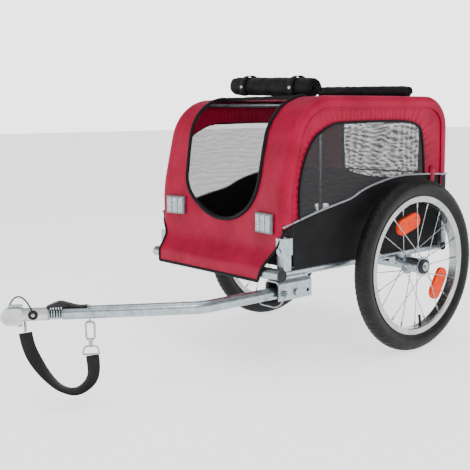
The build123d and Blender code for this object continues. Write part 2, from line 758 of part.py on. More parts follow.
def drawbar_left():
    angle = radians(BEND_ANGLE)
    return Vector(sin(angle), cos(angle), 0)


def drawbar_right():
    return drawbar_left() * -1


def drawbar_plane(distance, z=DRAWBAR_Z):
    """A plane at a station whose normal runs forward along the drawbar."""
    angle = radians(BEND_ANGLE)
    return Plane(origin=station(distance, z), x_dir=(sin(angle), cos(angle), 0), z_dir=(cos(angle), -sin(angle), 0))


def drawbar_rod(start, end, radius, z=DRAWBAR_Z):
    return rod_between(station(start, z), station(end, z), radius)


def drawbar_tube():
    tail = (PIVOT_X - DRAWBAR_TAIL, DRAWBAR_Y, DRAWBAR_Z)
    path = FilletPolyline(tail, (BEND_X, DRAWBAR_Y, DRAWBAR_Z), station(SPRING_START), radius=BEND_RADIUS)
    radius = DRAWBAR_DIAMETER / 2
    tube = swept_round(path, radius) - swept_round(path, radius - TUBE_WALL)
    tube -= rod_y(PIVOT_X, DRAWBAR_Y - 30, DRAWBAR_Y + 30, DRAWBAR_Z, BOLT_DIAMETER / 2 + RUNNING)
    return tube - lock_slot(radius)


def lock_slot(depth):
    """The lock pin's way out of the tube: an arc about the pivot, open at the tube's top."""
    width = LOCK_PIN_DIAMETER + 2 * CLEAR
    low, high = DRAWBAR_Y - 30, DRAWBAR_Y + 30
    ring = rod_y(PIVOT_X, low, high, DRAWBAR_Z, LOCK_SPACING + width / 2)
    ring -= rod_y(PIVOT_X, low, high, DRAWBAR_Z, LOCK_SPACING - width / 2)
    upper = block(PIVOT_X, PIVOT_X + 60, low, high, DRAWBAR_Z, DRAWBAR_Z + depth + 2)
    hole = rod_y(PIVOT_X + LOCK_SPACING, low, high, DRAWBAR_Z, width / 2)
    return (ring & upper) + hole


def bracket_channel(width, top_z, bottom_z, front_x, rear_x, plate):
    """An upside-down channel around the drawbar's end, with rounded upper corners."""

    def outline(half, top, low):
        face = Polygon((-half, low), (half, low), (half, top), (-half, top), align=None)
        face = fillet(face.vertices().sort_by(Axis.Y)[2:], BRACKET_CORNER)
        return Pos(rear_x, DRAWBAR_Y, 0) * extrude(Plane.YZ * face, front_x - rear_x, dir=(1, 0, 0))

    return outline(width / 2, top_z, bottom_z) - outline(width / 2 - plate, top_z - plate, bottom_z - 5)


def bracket_top():
    return RAIL_Z - CROSS_TUBE_DIAMETER / 2 - 0.05


def bracket_holes(radius):
    low, high = DRAWBAR_Y - 30, DRAWBAR_Y + 30
    holes = rod_y(PIVOT_X, low, high, DRAWBAR_Z, radius)
    for x in (PIVOT_X - LOCK_SPACING, PIVOT_X + LOCK_SPACING):
        holes += rod_y(x, low, high, DRAWBAR_Z, radius)
    return holes


def drawbar_bracket():
    """Sheet-steel channel under the rail: the drawbar pivots and locks in it."""
    channel = bracket_channel(
        BRACKET_WIDTH, bracket_top(), BRACKET_BOTTOM_Z, BRACKET_FRONT_X, BRACKET_REAR_X, BRACKET_PLATE
    )
    web = block(
        BRACKET_REAR_X, CROSS_TUBE_X - CROSS_TUBE_DIAMETER / 2 - 2, RAIL_Y - 6, RAIL_Y + 6,
        bracket_top() - 0.5, RAIL_Z,
    )
    web -= rod_x(BRACKET_REAR_X - 5, CROSS_TUBE_X, RAIL_Y, RAIL_Z, rail_radius)
    web = web.solids().sort_by(Axis.Z)[0]
    return channel + web - bracket_holes(BOLT_DIAMETER / 2 + RUNNING)


def drawbar_liner():
    """Plastic liner that fills the channel beside the tube."""
    inner_half = DRAWBAR_DIAMETER / 2 + FABRIC_GAP
    width = BRACKET_WIDTH - 2 * BRACKET_PLATE - 0.1
    top = bracket_top() - BRACKET_PLATE - 0.05
    plate = width / 2 - inner_half
    half = width / 2
    face = Polygon((-half, BRACKET_BOTTOM_Z + 3), (half, BRACKET_BOTTOM_Z + 3), (half, top), (-half, top), align=None)
    face = fillet(face.vertices().sort_by(Axis.Y)[2:], BRACKET_CORNER)
    slot_top = top - 1.4
    slot = Polygon(
        (-half + plate, BRACKET_BOTTOM_Z), (half - plate, BRACKET_BOTTOM_Z), (half - plate, slot_top),
        (-half + plate, slot_top), align=None,
    )
    length = BRACKET_FRONT_X - BRACKET_REAR_X - 4
    body = extrude(Plane.YZ * (face - slot), length, dir=(1, 0, 0))
    body = Pos(BRACKET_REAR_X + 2, DRAWBAR_Y, 0) * body
    return body - bracket_holes(BOLT_DIAMETER / 2 + 2 * CLEAR)


def pivot_bolt():
    outer = BRACKET_WIDTH / 2
    bolt = rod_y(PIVOT_X, DRAWBAR_Y - outer - 6, DRAWBAR_Y + outer + 0.1, DRAWBAR_Z, BOLT_DIAMETER / 2)
    head = Pos(PIVOT_X, DRAWBAR_Y + outer + 0.1, DRAWBAR_Z) * Rot(-90, 0, 0) * extrude(RegularPolygon(7.5, 6), 5)
    return Compound(children=[(bolt + head).solid(), pivot_nut().solid()])


def pivot_nut():
    outer = BRACKET_WIDTH / 2
    nut = Pos(PIVOT_X, DRAWBAR_Y - outer - 0.1, DRAWBAR_Z) * Rot(90, 0, 0) * extrude(RegularPolygon(7.5, 6), 5)
    return nut - rod_y(PIVOT_X, DRAWBAR_Y - outer - 10, DRAWBAR_Y, DRAWBAR_Z, BOLT_DIAMETER / 2)


def lock_pin():
    x = PIVOT_X + LOCK_SPACING
    outer = BRACKET_WIDTH / 2
    pin = rod_y(x, DRAWBAR_Y - outer - 9, DRAWBAR_Y + outer + 0.1, DRAWBAR_Z, LOCK_PIN_DIAMETER / 2)
    pin += rod_y(x, DRAWBAR_Y + outer + 0.1, DRAWBAR_Y + outer + 8, DRAWBAR_Z, 6.5)
    return pin


def lock_bail():
    """Spring wire from the pin's head, under the drawbar, to the pin's far end."""
    x = PIVOT_X + LOCK_SPACING
    outer = BRACKET_WIDTH / 2
    near, far = DRAWBAR_Y + outer + 8 + BAIL_WIRE / 2, DRAWBAR_Y - outer - 9 - BAIL_WIRE / 2
    low = DRAWBAR_Z - 24
    points = [(x, near, DRAWBAR_Z + 3), (x + 28, near, low), (x + 28, far, low), (x, far, DRAWBAR_Z + 3)]
    path = FilletPolyline(*points, radius=14.0)
    return swept_round(path, BAIL_WIRE / 2)


# Hitch -------------------------------------------------------------------


def hitch_core():
    """Flexible rod inside the spring that joins the tube to the head."""
    core = drawbar_rod(SPRING_START + 0.1, SPRING_START + SPRING_LENGTH - 0.3, 7.0)
    neck = DRAWBAR_DIAMETER / 2 - TUBE_WALL - RUNNING
    return core + drawbar_rod(SPRING_START - 30, SPRING_START + 0.1, neck)


def hitch_spring():
    """Close-wound spring over the joint between the tube and the head."""
    coils = []
    radius = (SPRING_DIAMETER - SPRING_WIRE) / 2
    usable = SPRING_LENGTH - SPRING_WIRE - 0.6
    for index in range(SPRING_COILS):
        distance = SPRING_START + 0.3 + SPRING_WIRE / 2 + index * usable / (SPRING_COILS - 1)
        ring = drawbar_plane(distance) * Torus(radius, SPRING_WIRE / 2)
        coils.append(ring.solid())
    return Compound(children=coils)


def hitch_head():
    """Cast head: a round root, then a deeper nose, rounded in side view, with an open pocket for the lug."""
    start = SPRING_START + SPRING_LENGTH
    tip = start + HEAD_LENGTH
    head = drawbar_rod(start, tip - NOSE_LENGTH + 8, HEAD_DIAMETER / 2)
    nose_profile = Pos(NOSE_LENGTH / 2, 0) * Rectangle(NOSE_LENGTH, NOSE_HEIGHT)
    nose_profile = fillet(nose_profile.vertices().sort_by(Axis.X)[2:], NOSE_HEIGHT / 2 - 0.5)
    nose_profile = fillet(nose_profile.vertices().sort_by(Axis.X)[:2], 8.0)
    nose_plane = Plane(
        origin=station(tip - NOSE_LENGTH, DRAWBAR_Z - NOSE_DROP), x_dir=drawbar_forward(), z_dir=drawbar_left()
    )
    head += nose_plane * extrude(nose_profile, NOSE_WIDTH / 2, both=True)
    pocket_plane = Plane(origin=station(tip - POCKET_DEPTH / 2 + 1), x_dir=drawbar_forward())
    head -= pocket_plane * Box(POCKET_DEPTH + 2, POCKET_WIDTH, POCKET_HEIGHT)
    x, y, z = station(hitch_pin_station)
    head -= rod_z(x, y, z - 40, z + 40, HITCH_PIN_DIAMETER / 2 + RUNNING)
    x, y, z = station(strap_station)
    return head - rod_z(x, y, z - 40, z, EYE_SHANK_DIAMETER / 2 + RUNNING)


def hitch_pin():
    """Drop pin with a flat tab on top, where its tether is tied."""
    x, y, z = station(hitch_pin_station)
    pin = rod_z(x, y, nose_bottom - 5, nose_top + 0.1, HITCH_PIN_DIAMETER / 2)
    tab_plane = Plane(origin=station(hitch_pin_station + 7, nose_top + 0.1 + TAB_HEIGHT / 2), x_dir=drawbar_forward())
    return pin + tab_plane * Box(TAB_LENGTH, 9.0, TAB_HEIGHT)


def strap_ring():
    """Eye bolt under the head that carries the strap."""
    x, y, _ = station(strap_station)
    low = DRAWBAR_Z - HEAD_DIAMETER / 2
    shank = rod_z(x, y, low - 3.0, DRAWBAR_Z - POCKET_HEIGHT / 2 - 0.5, EYE_SHANK_DIAMETER / 2)
    ring_plane = Plane(origin=station(strap_station, low - 3.0 - EYE_RADIUS), x_dir=(0, 0, 1), z_dir=drawbar_forward())
    return shank + ring_plane * Torus(EYE_RADIUS, EYE_WIRE / 2)


def cord_path(name, points, share=0.45):
    """Straight runs joined by arcs, each as large as its two runs allow; prints the radii."""
    vectors = [Vector(*point) for point in points]
    radii = []
    for before, corner, after in zip(vectors, vectors[1:], vectors[2:]):
        run_in, run_out = corner - before, after - corner
        turn = radians(run_in.get_angle(run_out))
        radii.append(share * min(run_in.length, run_out.length) / tan(turn / 2))
    path = FilletPolyline(*points, radius=radii)
    print(f"{name}: length {path.length:.1f}, radii", [round(radius, 1) for radius in radii])
    return path


# Routes: (distance along the drawbar from its bend, height, offset to the left)
STRAP_ROUTE = [
    (334, 149.4, 0), (331, 126, 1), (319, 97, 3), (299, 65, 4), (275, 38, 3), (246, 27, 0), (221, 41, -3),
    (208, 66, -3), (212, 99.4, -1),
]
TETHER_ROUTE = [
    (317, 186, 14.4), (318, 195, 15.5), (323, 204, 14), (330, 214, 9), (341, 221, 4), (354, 216, 1), (360, 204.4, 0),
]


def route_points(route):
    return [station(distance, height, offset) for distance, height, offset in route]


def safety_strap():
    """Flat webbing carried along its route, turned half-way between edge-on and flat."""
    path = cord_path("safety strap", route_points(STRAP_ROUTE))
    start = path @ 0
    along = path % 0
    across = drawbar_left() + along.cross(drawbar_left())
    plane = Plane(origin=start, x_dir=across, z_dir=along)
    strap = sweep(plane * Rectangle(WEBBING_WIDTH, WEBBING_THICKNESS), path=path)
    share = strap.volume / (path.length * WEBBING_WIDTH * WEBBING_THICKNESS)
    print(f"safety strap: volume over section times length {share:.4f}")
    return strap


def pin_tether():
    """Thin cord from the head's rivet to the tab of the hitch pin."""
    path = cord_path("pin tether", route_points(TETHER_ROUTE))
    tether = swept_round(path, TETHER_DIAMETER / 2)
    share = tether.volume / (path.length * pi * TETHER_DIAMETER**2 / 4)
    print(f"pin tether: volume over section times length {share:.4f}")
    return tether


def hook_plane(z):
    """Upright plane through the snap hook: x along the drawbar, y up."""
    return Plane(origin=station(HOOK_STATION, z), x_dir=drawbar_forward(), z_dir=drawbar_right())


def strap_dring():
    """D-shaped ring: its round side hangs in the snap hook, and the strap is sewn to its straight bar."""
    half = DRING_WIDTH / 2
    corners = [(-half, -DRING_HEIGHT), (half, -DRING_HEIGHT), (half - 4, 0), (-half + 4, 0)]
    path = hook_plane(hook_eye_z()) * FilletPolyline(*corners, radius=[2.5, 2.5, 8.0, 8.0], close=True)
    return wire_along(path, DRING_WIRE / 2)


def wire_along(path, radius):
    """Round wire along a path, one sweep for each line or arc of it."""
    pieces = [sweep(Plane(origin=edge @ 0, z_dir=edge % 0) * Circle(radius), path=edge) for edge in path.edges()]
    body = pieces[0]
    for piece in pieces[1:]:
        body += piece
    return body


def hook_eye_z():
    return HOOK_BOTTOM_Z - 3.0


def hook_levels():
    """Heights of the hook's eye: bottom bar, gate foot, gate head and top bar."""
    low, high = HOOK_BOTTOM_Z + 10, HOOK_TOP_Z - HOOK_WIRE / 2
    return low, low + 10, high - 10, high


def snap_hook():
    """Hook body: a swivel barrel below and a long eye that is open on the gate's side."""
    half = HOOK_HALF_WIDTH
    low, gate_low, gate_high, high = hook_levels()
    levels = [gate_high, high, high, low, low, gate_low]
    sides = [half, half, -half, -half, half, half]
    corners = [(across, z - low) for across, z in zip(sides, levels)]
    path = hook_plane(low) * FilletPolyline(*corners, radius=6.0)
    body = wire_along(path, HOOK_WIRE / 2)
    x, y, _ = station(HOOK_STATION)
    body += rod_z(x, y, HOOK_BOTTOM_Z, HOOK_BOTTOM_Z + 12, 4.0)
    return body + drawbar_plane(HOOK_STATION, hook_eye_z()) * Torus(3.6, 1.3)


def hook_gate():
    """Sprung gate that closes the hook's eye and turns about its round lower end."""
    _, gate_low, gate_high, _ = hook_levels()
    x, y, _ = station(HOOK_STATION + HOOK_HALF_WIDTH)
    pivot = gate_low + GATE_DIAMETER / 2 + 0.1
    gate = rod_z(x, y, pivot, gate_high - 0.2, GATE_DIAMETER / 2)
    return gate + Pos(x, y, pivot) * Sphere(GATE_DIAMETER / 2)


def tube_eye():
    """Wire clip round the drawbar with the eye that the snap hook holds."""
    clip = drawbar_plane(HOOK_STATION) * Torus(DRAWBAR_DIAMETER / 2 + 1.3, 1.25)
    return clip + drawbar_plane(HOOK_STATION, HOOK_TOP_Z - HOOK_WIRE / 2) * Torus(4.2, 1.25)


def spring_cover():
    """Rubber band that lies on the tube and humps over the spring."""
    top = DRAWBAR_Z + DRAWBAR_DIAMETER / 2
    rear = HOOK_STATION + 3
    low = [(rear, top + 0.3), (240, top + 0.3), (262, top + 0.5), (291, top + 0.3)]
    high = [(293, top + 2.0), (280, top + 7.5), (268, top + 10.5), (256, top + 8.0), (240, top + 3.0), (rear, top + 2.4)]
    lower = [Vector(distance - HOOK_STATION, z - DRAWBAR_Z) for distance, z in low]
    upper = [Vector(distance - HOOK_STATION, z - DRAWBAR_Z) for distance, z in high]
    outline = Wire([*Polyline(*lower).edges(), Line(lower[-1], upper[0]).edge(), Spline(*upper).edge(),
                    Line(upper[-1], lower[0]).edge()])
    return hook_plane(DRAWBAR_Z) * extrude(make_face(outline), SPRING_COVER_WIDTH / 2, both=True)


parts = {}
for name, side in (("left", 1), ("right", -1)):
    parts[f"tyre_{name}"] = tyre(side)
    parts[f"rim_{name}"] = rim(side)
    parts[f"inner_tube_{name}"] = inner_tube(side)
    parts[f"spokes_{name}"] = spokes(side)
    parts[f"hub_shell_{name}"] = hub_shell(side)
    parts[f"hub_bearings_{name}"] = hub_bearings(side)
    parts[f"spoke_reflectors_{name}"] = spoke_reflectors(side)
    parts[f"release_button_{name}"] = release_button(side)
    parts[f"side_hoop_{name}"] = side_hoop(side)
    parts[f"hinge_caps_{name}"] = hinge_caps(side)
    parts[f"side_panel_{name}"] = side_panel(side)
    parts[f"window_mesh_{name}"] = window_mesh(side)
parts["wheel_axles"] = both_sides(wheel_axle)
parts["side_rails"] = both_sides(side_rail)
parts["side_skirts"] = both_sides(side_skirt)
parts["front_cross_tube"] = front_cross_tube()
parts["rear_cross_tube"] = rear_cross_tube()
parts["tube_plugs"] = tube_plugs()
parts["axle_tube"] = axle_tube()
parts["axle_saddles"] = axle_saddles()
parts["floor_panel"] = floor_panel()
parts["hinge_bases"] = hinge_bases()
parts["hinge_pins"] = hinge_pins()
parts["cover_front"] = cover_front()
parts["cover_roof"] = cover_roof()
parts["cover_rear"] = cover_rear()
parts["rear_screen"] = rear_screen()
parts["cover_rolls"] = cover_rolls()
parts["front_markers"] = front_markers()
parts["drawbar_bracket"] = drawbar_bracket()
parts["drawbar_liner"] = drawbar_liner()
parts["pivot_bolt"] = pivot_bolt()
parts["drawbar_tube"] = drawbar_tube()
parts["lock_pin"] = lock_pin()
parts["lock_bail"] = lock_bail()
parts["hitch_core"] = hitch_core()
parts["hitch_spring"] = hitch_spring()
parts["hitch_head"] = hitch_head()
parts["hitch_pin"] = hitch_pin()
parts["strap_ring"] = strap_ring()
parts["tube_eye"] = tube_eye()
parts["spring_cover"] = spring_cover()
parts["pin_tether"] = pin_tether()
parts["safety_strap"] = safety_strap()
parts["strap_dring"] = strap_dring()
parts["snap_hook"] = snap_hook()
parts["hook_gate"] = hook_gate()
parts["roll_straps"] = roll_straps()

os.makedirs("parts", exist_ok=True)
for node, shape in parts.items():
    export_step(place(shape), f"parts/{node}.step")
print(len(parts), "nodes")
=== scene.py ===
"""Looks of the bicycle trailer: fabric cabin, wheels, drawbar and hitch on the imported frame.

Lengths in this file are millimetres from the middle of the wheel axle, +X to the hitch, +Y left, +Z up;
at() turns them into metres in the part's own frame.
"""
import math

import bmesh
import bpy
import numpy as np
from mathutils import Matrix, Vector, geometry, noise


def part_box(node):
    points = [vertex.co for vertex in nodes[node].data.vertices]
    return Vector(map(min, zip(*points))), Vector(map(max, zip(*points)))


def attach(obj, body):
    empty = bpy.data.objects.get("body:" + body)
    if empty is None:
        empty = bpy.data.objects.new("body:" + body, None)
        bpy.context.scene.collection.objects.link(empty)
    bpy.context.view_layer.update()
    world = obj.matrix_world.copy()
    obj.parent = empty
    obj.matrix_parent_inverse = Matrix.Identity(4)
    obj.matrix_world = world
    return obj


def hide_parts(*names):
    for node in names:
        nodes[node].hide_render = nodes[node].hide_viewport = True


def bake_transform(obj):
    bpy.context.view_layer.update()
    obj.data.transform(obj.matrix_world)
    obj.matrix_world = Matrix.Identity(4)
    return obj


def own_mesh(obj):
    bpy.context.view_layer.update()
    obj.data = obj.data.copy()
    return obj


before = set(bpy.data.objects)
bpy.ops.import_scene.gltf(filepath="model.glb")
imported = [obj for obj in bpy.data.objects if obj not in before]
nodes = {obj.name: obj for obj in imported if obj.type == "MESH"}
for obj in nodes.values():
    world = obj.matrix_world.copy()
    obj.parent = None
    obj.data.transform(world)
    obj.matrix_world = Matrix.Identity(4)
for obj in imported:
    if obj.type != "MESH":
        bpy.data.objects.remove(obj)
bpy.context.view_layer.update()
collection = bpy.context.scene.collection
AXLE_X = sum(corner.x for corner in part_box("axle_tube")) / 2

# Sides: 1 is the left, -1 the right
SIDE_NAME = {1: "left", -1: "right"}
SIDE_BODY = {1: "side_frame_left", -1: "side_frame_right"}

# Cabin cover: half its width, and the run across it over the rounded corner and down the side
CABIN_HALF_WIDTH = 215.3
CORNER_RADIUS = 15.5
WRAP_STRAIGHT = 13.0
FACE_HALF = CABIN_HALF_WIDTH - CORNER_RADIUS
CORNER_RUN = CORNER_RADIUS * math.pi / 2
CROSS_HALF = FACE_HALF + CORNER_RUN + WRAP_STRAIGHT
REAR_HALF = 184
REAR_PIPING_Z = 401

# Front panel, drawn in between its stiff side edges
RECESS_DEPTH = 19.0
RECESS_FROM_X = 150
RECESS_Z = 360
RECESS_SPREAD = 105

# Hollow of the roof under the front roll, deeper on the left
FRONT_ROLL_X = 209.0
BED_FROM_Z = 560
BED_HALF_LENGTH = 185
BED_DEPTH = 6
BED_EXTRA = 3
BED_EXTRA_Y = 136
BED_SPREAD = 27

# Side fabric: its plane, and how far its red border reaches in under the lip of the cover
SIDE_Y = 213.6
BORDER_TUCK = 22

# Thickness of the cloth and of the rolled covers, in metres
CLOTH = 0.0011
ROLL_CLOTH = 0.0022

# Spacing of the points in the cloths, in their gathered borders and along the side view
STEP = 6.0
GATHER_STEP = 3.0
PROFILE_STEP = 2.0
PIPING_STEP = 4.0

# Side view of the cabin, from the hem of the front panel over the roof to the hem of the back
PROFILE = [(409, 206), (409, 234), (382.5, 272), (382.5, 380), (332, 588), (-170, 588), (-170, 236)]
PROFILE_RADII = [14, 40, 300, 115, 75]
ROOF_FROM_Z = 500

# Side view of the window's arched edge, and a point in its middle that its stitches spread from
WINDOW = [
    (334, 331), (335, 370), (333, 402), (325, 437), (310, 472), (287, 501), (251, 520), (213, 529),
    (120, 531), (33, 531), (-20, 528), (-53, 519), (-66, 502), (-74, 462), (-79, 407),
]
WINDOW_X = 150
WINDOW_Z = 430

# Side view of the piping, which is also the window's sill between two places along the cabin
PIPING = [
    (381, 320), (334, 332), (275, 346), (215, 358), (176, 366), (142, 380), (99, 392), (20, 405), (-60, 406),
    (-168, 401),
]
SILL_REAR_X = -79
SILL_FRONT_X = 333

# Pull tab on each side panel: its place along the cabin, then (height, lift off the cloth) down its length
TAB_X = -109
TAB_DROP = ((424, 0.0), (412, 1.2), (402, 1.6), (386, 0.4))

# Tape of the pull tabs and of the straps round the front roll
TAPE_WIDTH = 17.0
TAPE_THICKNESS = 1.2

# Stitches: thread radius, pitch, and the rings of one dash as (share of the pitch, size)
THREAD_RADIUS = 0.45
THREAD_SIDES = 6
STITCH_PITCH = 6.0
DASH = ((0.1, 0.6), (0.25, 1.0), (0.6, 1.0), (0.75, 0.6))


def at(x, y, z):
    """A point in millimetres from the axle as metres in the part's frame."""
    return Vector((AXLE_X + x / 1000, y / 1000, z / 1000))


# Lines ---


def smooth(points, steps=8):
    """Points along a Catmull-Rom line through the given ones."""
    found = [Vector(point) for point in points]
    padded = [2 * found[0] - found[1], *found, 2 * found[-1] - found[-2]]
    line = []
    for a, b, c, d in zip(padded, padded[1:], padded[2:], padded[3:]):
        square = 2 * a - 5 * b + 4 * c - d
        cube = 3 * b - a - 3 * c + d
        for index in range(steps):
            t = index / steps
            line.append(0.5 * (2 * b + (c - a) * t + square * t**2 + cube * t**3))
    return [*line, found[-1]]


def rounded(corners, radii, steps=14):
    """A line whose inner corners are arcs of the given radii."""
    points = [Vector(corner) for corner in corners]
    line = [points[0]]
    for before, corner, after, radius in zip(points, points[1:], points[2:], radii):
        back, forth = (before - corner).normalized(), (after - corner).normalized()
        half = back.angle(forth) / 2
        reach = radius / math.tan(half)
        start, end = corner + back * reach, corner + forth * reach
        centre = corner + (back + forth).normalized() * (radius / math.sin(half))
        for index in range(steps + 1):
            ray = (start - centre).lerp(end - centre, index / steps)
            line.append(centre + ray.normalized() * radius)
    return [*line, points[-1]]


def even(points, step):
    """The same line with its points a step apart."""
    line = np.array([tuple(point) for point in points], float)
    lengths = np.linalg.norm(np.diff(line, axis=0), axis=1)
    run = np.concatenate([[0], np.cumsum(lengths)])
    count = max(2, int(round(run[-1] / step)) + 1)
    spots = np.linspace(0, run[-1], count)
    return np.stack([np.interp(spots, run, line[:, axis]) for axis in range(line.shape[1])], axis=1)


def loop_of(points, step=STEP):
    """A closed line with its points about a step apart."""
    return even([*points, points[0]], step)[:-1]


profile = even(rounded(PROFILE, PROFILE_RADII), PROFILE_STEP)
profile_step = float(np.linalg.norm(profile[1] - profile[0]))
profile_length = profile_step * (len(profile) - 1)
tangents = np.gradient(profile, axis=0)
tangents /= np.linalg.norm(tangents, axis=1)[:, None]
piping_line = even(smooth(PIPING), PIPING_STEP)


def profile_at(s):
    """Point and outward direction of the cabin's side view at a distance along it."""
    spot = min(max(s / profile_step, 0), len(profile) - 1.001)
    low = int(spot)
    share = spot - low
    point = profile[low] * (1 - share) + profile[low + 1] * share
    tangent = tangents[low] * (1 - share) + tangents[low + 1] * share
    return point, (tangent[1], -tangent[0])


def front_s(z):
    """Distance along the side view where the front reaches a height."""
    half = profile[: len(profile) // 2]
    return float(np.interp(z, half[:, 1], np.arange(len(half)) * profile_step))


def roof_s(x):
    """Distance along the side view where the roof reaches a place along the cabin."""
    middle = np.where(profile[:, 1] > ROOF_FROM_Z)[0]
    return float(np.interp(-x, -profile[middle, 0], middle * profile_step))


def rear_s(z):
    """Distance along the side view where the back comes down to a height."""
    rear = np.arange(len(profile) // 2, len(profile))
    return float(np.interp(-z, -profile[rear, 1], rear * profile_step))


# Meshes ---

# Height of a row of a cloth's points as a share of their spacing, for triangles with equal sides
ROW_SHARE = 0.87


def new_object(name, verts, faces, mat):
    """A smooth-shaded mesh object with one material or a list of them."""
    mesh = bpy.data.meshes.new(name)
    mesh.from_pydata([tuple(v) for v in verts], [], faces)
    mesh.update()
    obj = bpy.data.objects.new(name, mesh)
    collection.objects.link(obj)
    for item in mat if isinstance(mat, list) else [mat]:
        mesh.materials.append(item)
    mesh.shade_smooth()
    return obj


def bridge(first, second, count, closed=True):
    """Faces between two rows of points, each given by the index of its first point."""
    return [
        (first + k, first + (k + 1) % count, second + (k + 1) % count, second + k)
        for k in range(count if closed else count - 1)
    ]


def thicken(obj, thickness):
    """Give a cloth its thickness, in metres, on the inner side of its face."""
    solid = obj.modifiers.new("cloth", "SOLIDIFY")
    solid.thickness = thickness
    solid.offset = -1
    return obj


def note_area(obj):
    """Keep the area of a cloth's single face on the object."""
    obj["flat_area"] = sum(polygon.area for polygon in obj.data.polygons)


def inside(points, polygon):
    """Which points lie inside a closed polygon."""
    x, y = points[:, 0][:, None], points[:, 1][:, None]
    ax, ay = polygon[:, 0], polygon[:, 1]
    bx, by = np.roll(ax, -1), np.roll(ay, -1)
    height = np.where(np.abs(by - ay) < 1e-9, 1e-9, by - ay)
    crossing = ((ay > y) != (by > y)) & (x < ax + (y - ay) * (bx - ax) / height)
    return crossing.sum(axis=1) % 2 == 1


def patch(name, outline, holes, place, mat, flip=False, step=STEP):
    """A cloth cut to a flat outline with holes, each flat point carried to its place in space."""
    loops = [loop_of(loop, step) for loop in (outline, *holes)]
    low, high = loops[0].min(axis=0), loops[0].max(axis=0)
    grid = []
    for index, y in enumerate(np.arange(low[1] + step / 2, high[1], step * ROW_SHARE)):
        first = low[0] + step * (0.3 + 0.5 * (index % 2))
        grid += [(x, y) for x in np.arange(first, high[0], step)]
    grid = np.array(grid)
    keep = inside(grid, loops[0])
    for loop in loops[1:]:
        keep &= ~inside(grid, loop)
    flat, edges = [], []
    for loop in loops:
        start, size = len(flat), len(loop)
        flat += [Vector(point) for point in loop]
        edges += [(start + index, start + (index + 1) % size) for index in range(size)]
    flat += [Vector(point) for point in grid[keep]]
    verts, _, faces, *_ = geometry.delaunay_2d_cdt(flat, edges, [], 0, 1e-5)
    totals = [sum((verts[index] for index in face), Vector((0, 0))) for face in faces]
    centres = np.array([tuple(total / len(face)) for total, face in zip(totals, faces)])
    keep = inside(centres, loops[0])
    for loop in loops[1:]:
        keep &= ~inside(centres, loop)
    kept = [face[::-1] if flip else face for face, good in zip(faces, keep) if good]
    obj = new_object(name, [at(*place(v.x, v.y)) for v in verts], kept, mat)
    flat_map = obj.data.uv_layers.new(name="flat")
    for loop in obj.data.loops:
        flat_map.data[loop.index].uv = verts[loop.vertex_index] / 1000
    note_area(obj)
    return obj, centres[keep]


def sweep(name, path, section, mat, closed=False, across=None):
    """A section carried along a path; across gives the section's first axis at each point."""
    count, ring = len(path), len(section)
    verts, side = [], None
    for index, point in enumerate(path):
        before = path[index - 1] if closed or index else point
        after = path[(index + 1) % count] if closed or index < count - 1 else point
        along = (after - before).normalized()
        if across is not None:
            side = across[index]
        elif side is None:
            side = along.orthogonal()
        side = (side - along * side.dot(along)).normalized()
        up = along.cross(side)
        verts += [point + side * a + up * b for a, b in section]
    faces = []
    for index in range(count if closed else count - 1):
        faces += bridge(index * ring, (index + 1) % count * ring, ring)
    if not closed:
        faces += [tuple(range(ring))[::-1], tuple((count - 1) * ring + k for k in range(ring))]
    return new_object(name, verts, faces, mat)


def circle(radius, count):
    """Section points of a round bar, in millimetres turned to metres."""
    turn = 2 * math.pi / count
    return [(radius / 1000 * math.cos(k * turn), radius / 1000 * math.sin(k * turn)) for k in range(count)]


def flat_section(width, thickness):
    """Section of a strap with softened edges."""
    w = width / 2000
    t = thickness / 2000
    edge = 0.6 * t
    return [(-w, -t + edge), (-w + edge, -t), (w - edge, -t), (w, -t + edge),
            (w, t - edge), (w - edge, t), (-w + edge, t), (-w, t - edge)]


def ribbon(name, path, across, width, thickness, mat):
    """A flat strap along a path; across is one direction or a list with one for each point."""
    sides = across if isinstance(across, list) else [across] * len(path)
    return sweep(name, path, flat_section(width, thickness), mat, across=sides)


def lathe(name, centre, axis, outline, mat, count=24):
    """A turned piece: outline holds (height along the axis, radius) in millimetres."""
    axis = axis.normalized()
    side = axis.orthogonal().normalized()
    up = axis.cross(side)
    verts, faces = [], []
    for height, radius in outline:
        for k in range(count):
            angle = 2 * math.pi * k / count
            spoke = side * math.cos(angle) + up * math.sin(angle)
            verts.append(centre + axis * (height / 1000) + spoke * (radius / 1000))
    last = (len(outline) - 1) * count
    for row in range(0, last, count):
        faces += bridge(row, row + count, count)
    faces.append(tuple(range(count))[::-1])
    faces.append(tuple(last + k for k in range(count)))
    return new_object(name, verts, faces, mat)


def stitches(name, path, mat):
    """A row of short thread dashes along a path."""
    line = [Vector(point) for point in even(path, STITCH_PITCH / 1000)]
    section = circle(THREAD_RADIUS, THREAD_SIDES)
    verts, faces = [], []
    for start, end in zip(line, line[1:]):
        along = (end - start).normalized()
        side = along.orthogonal().normalized()
        up = along.cross(side)
        base = len(verts)
        for share, scale in DASH:
            centre = start.lerp(end, share)
            verts += [centre + (side * a + up * b) * scale for a, b in section]
        for row in range(base, len(verts) - THREAD_SIDES, THREAD_SIDES):
            faces += bridge(row, row + THREAD_SIDES, THREAD_SIDES)
    return new_object(name, verts, faces, mat)


# Materials ---

# Length in metres of one band of the wave texture at scale 1
WAVE_LENGTH = 0.314
YARN_PITCH = 0.0011
NET_PITCH = 0.0024

# Specular level of glossy and of matt finishes, and the roughness between them
GLOSSY_SPECULAR = 0.5
MATT_SPECULAR = 0.12
GLOSSY_BELOW = 0.4


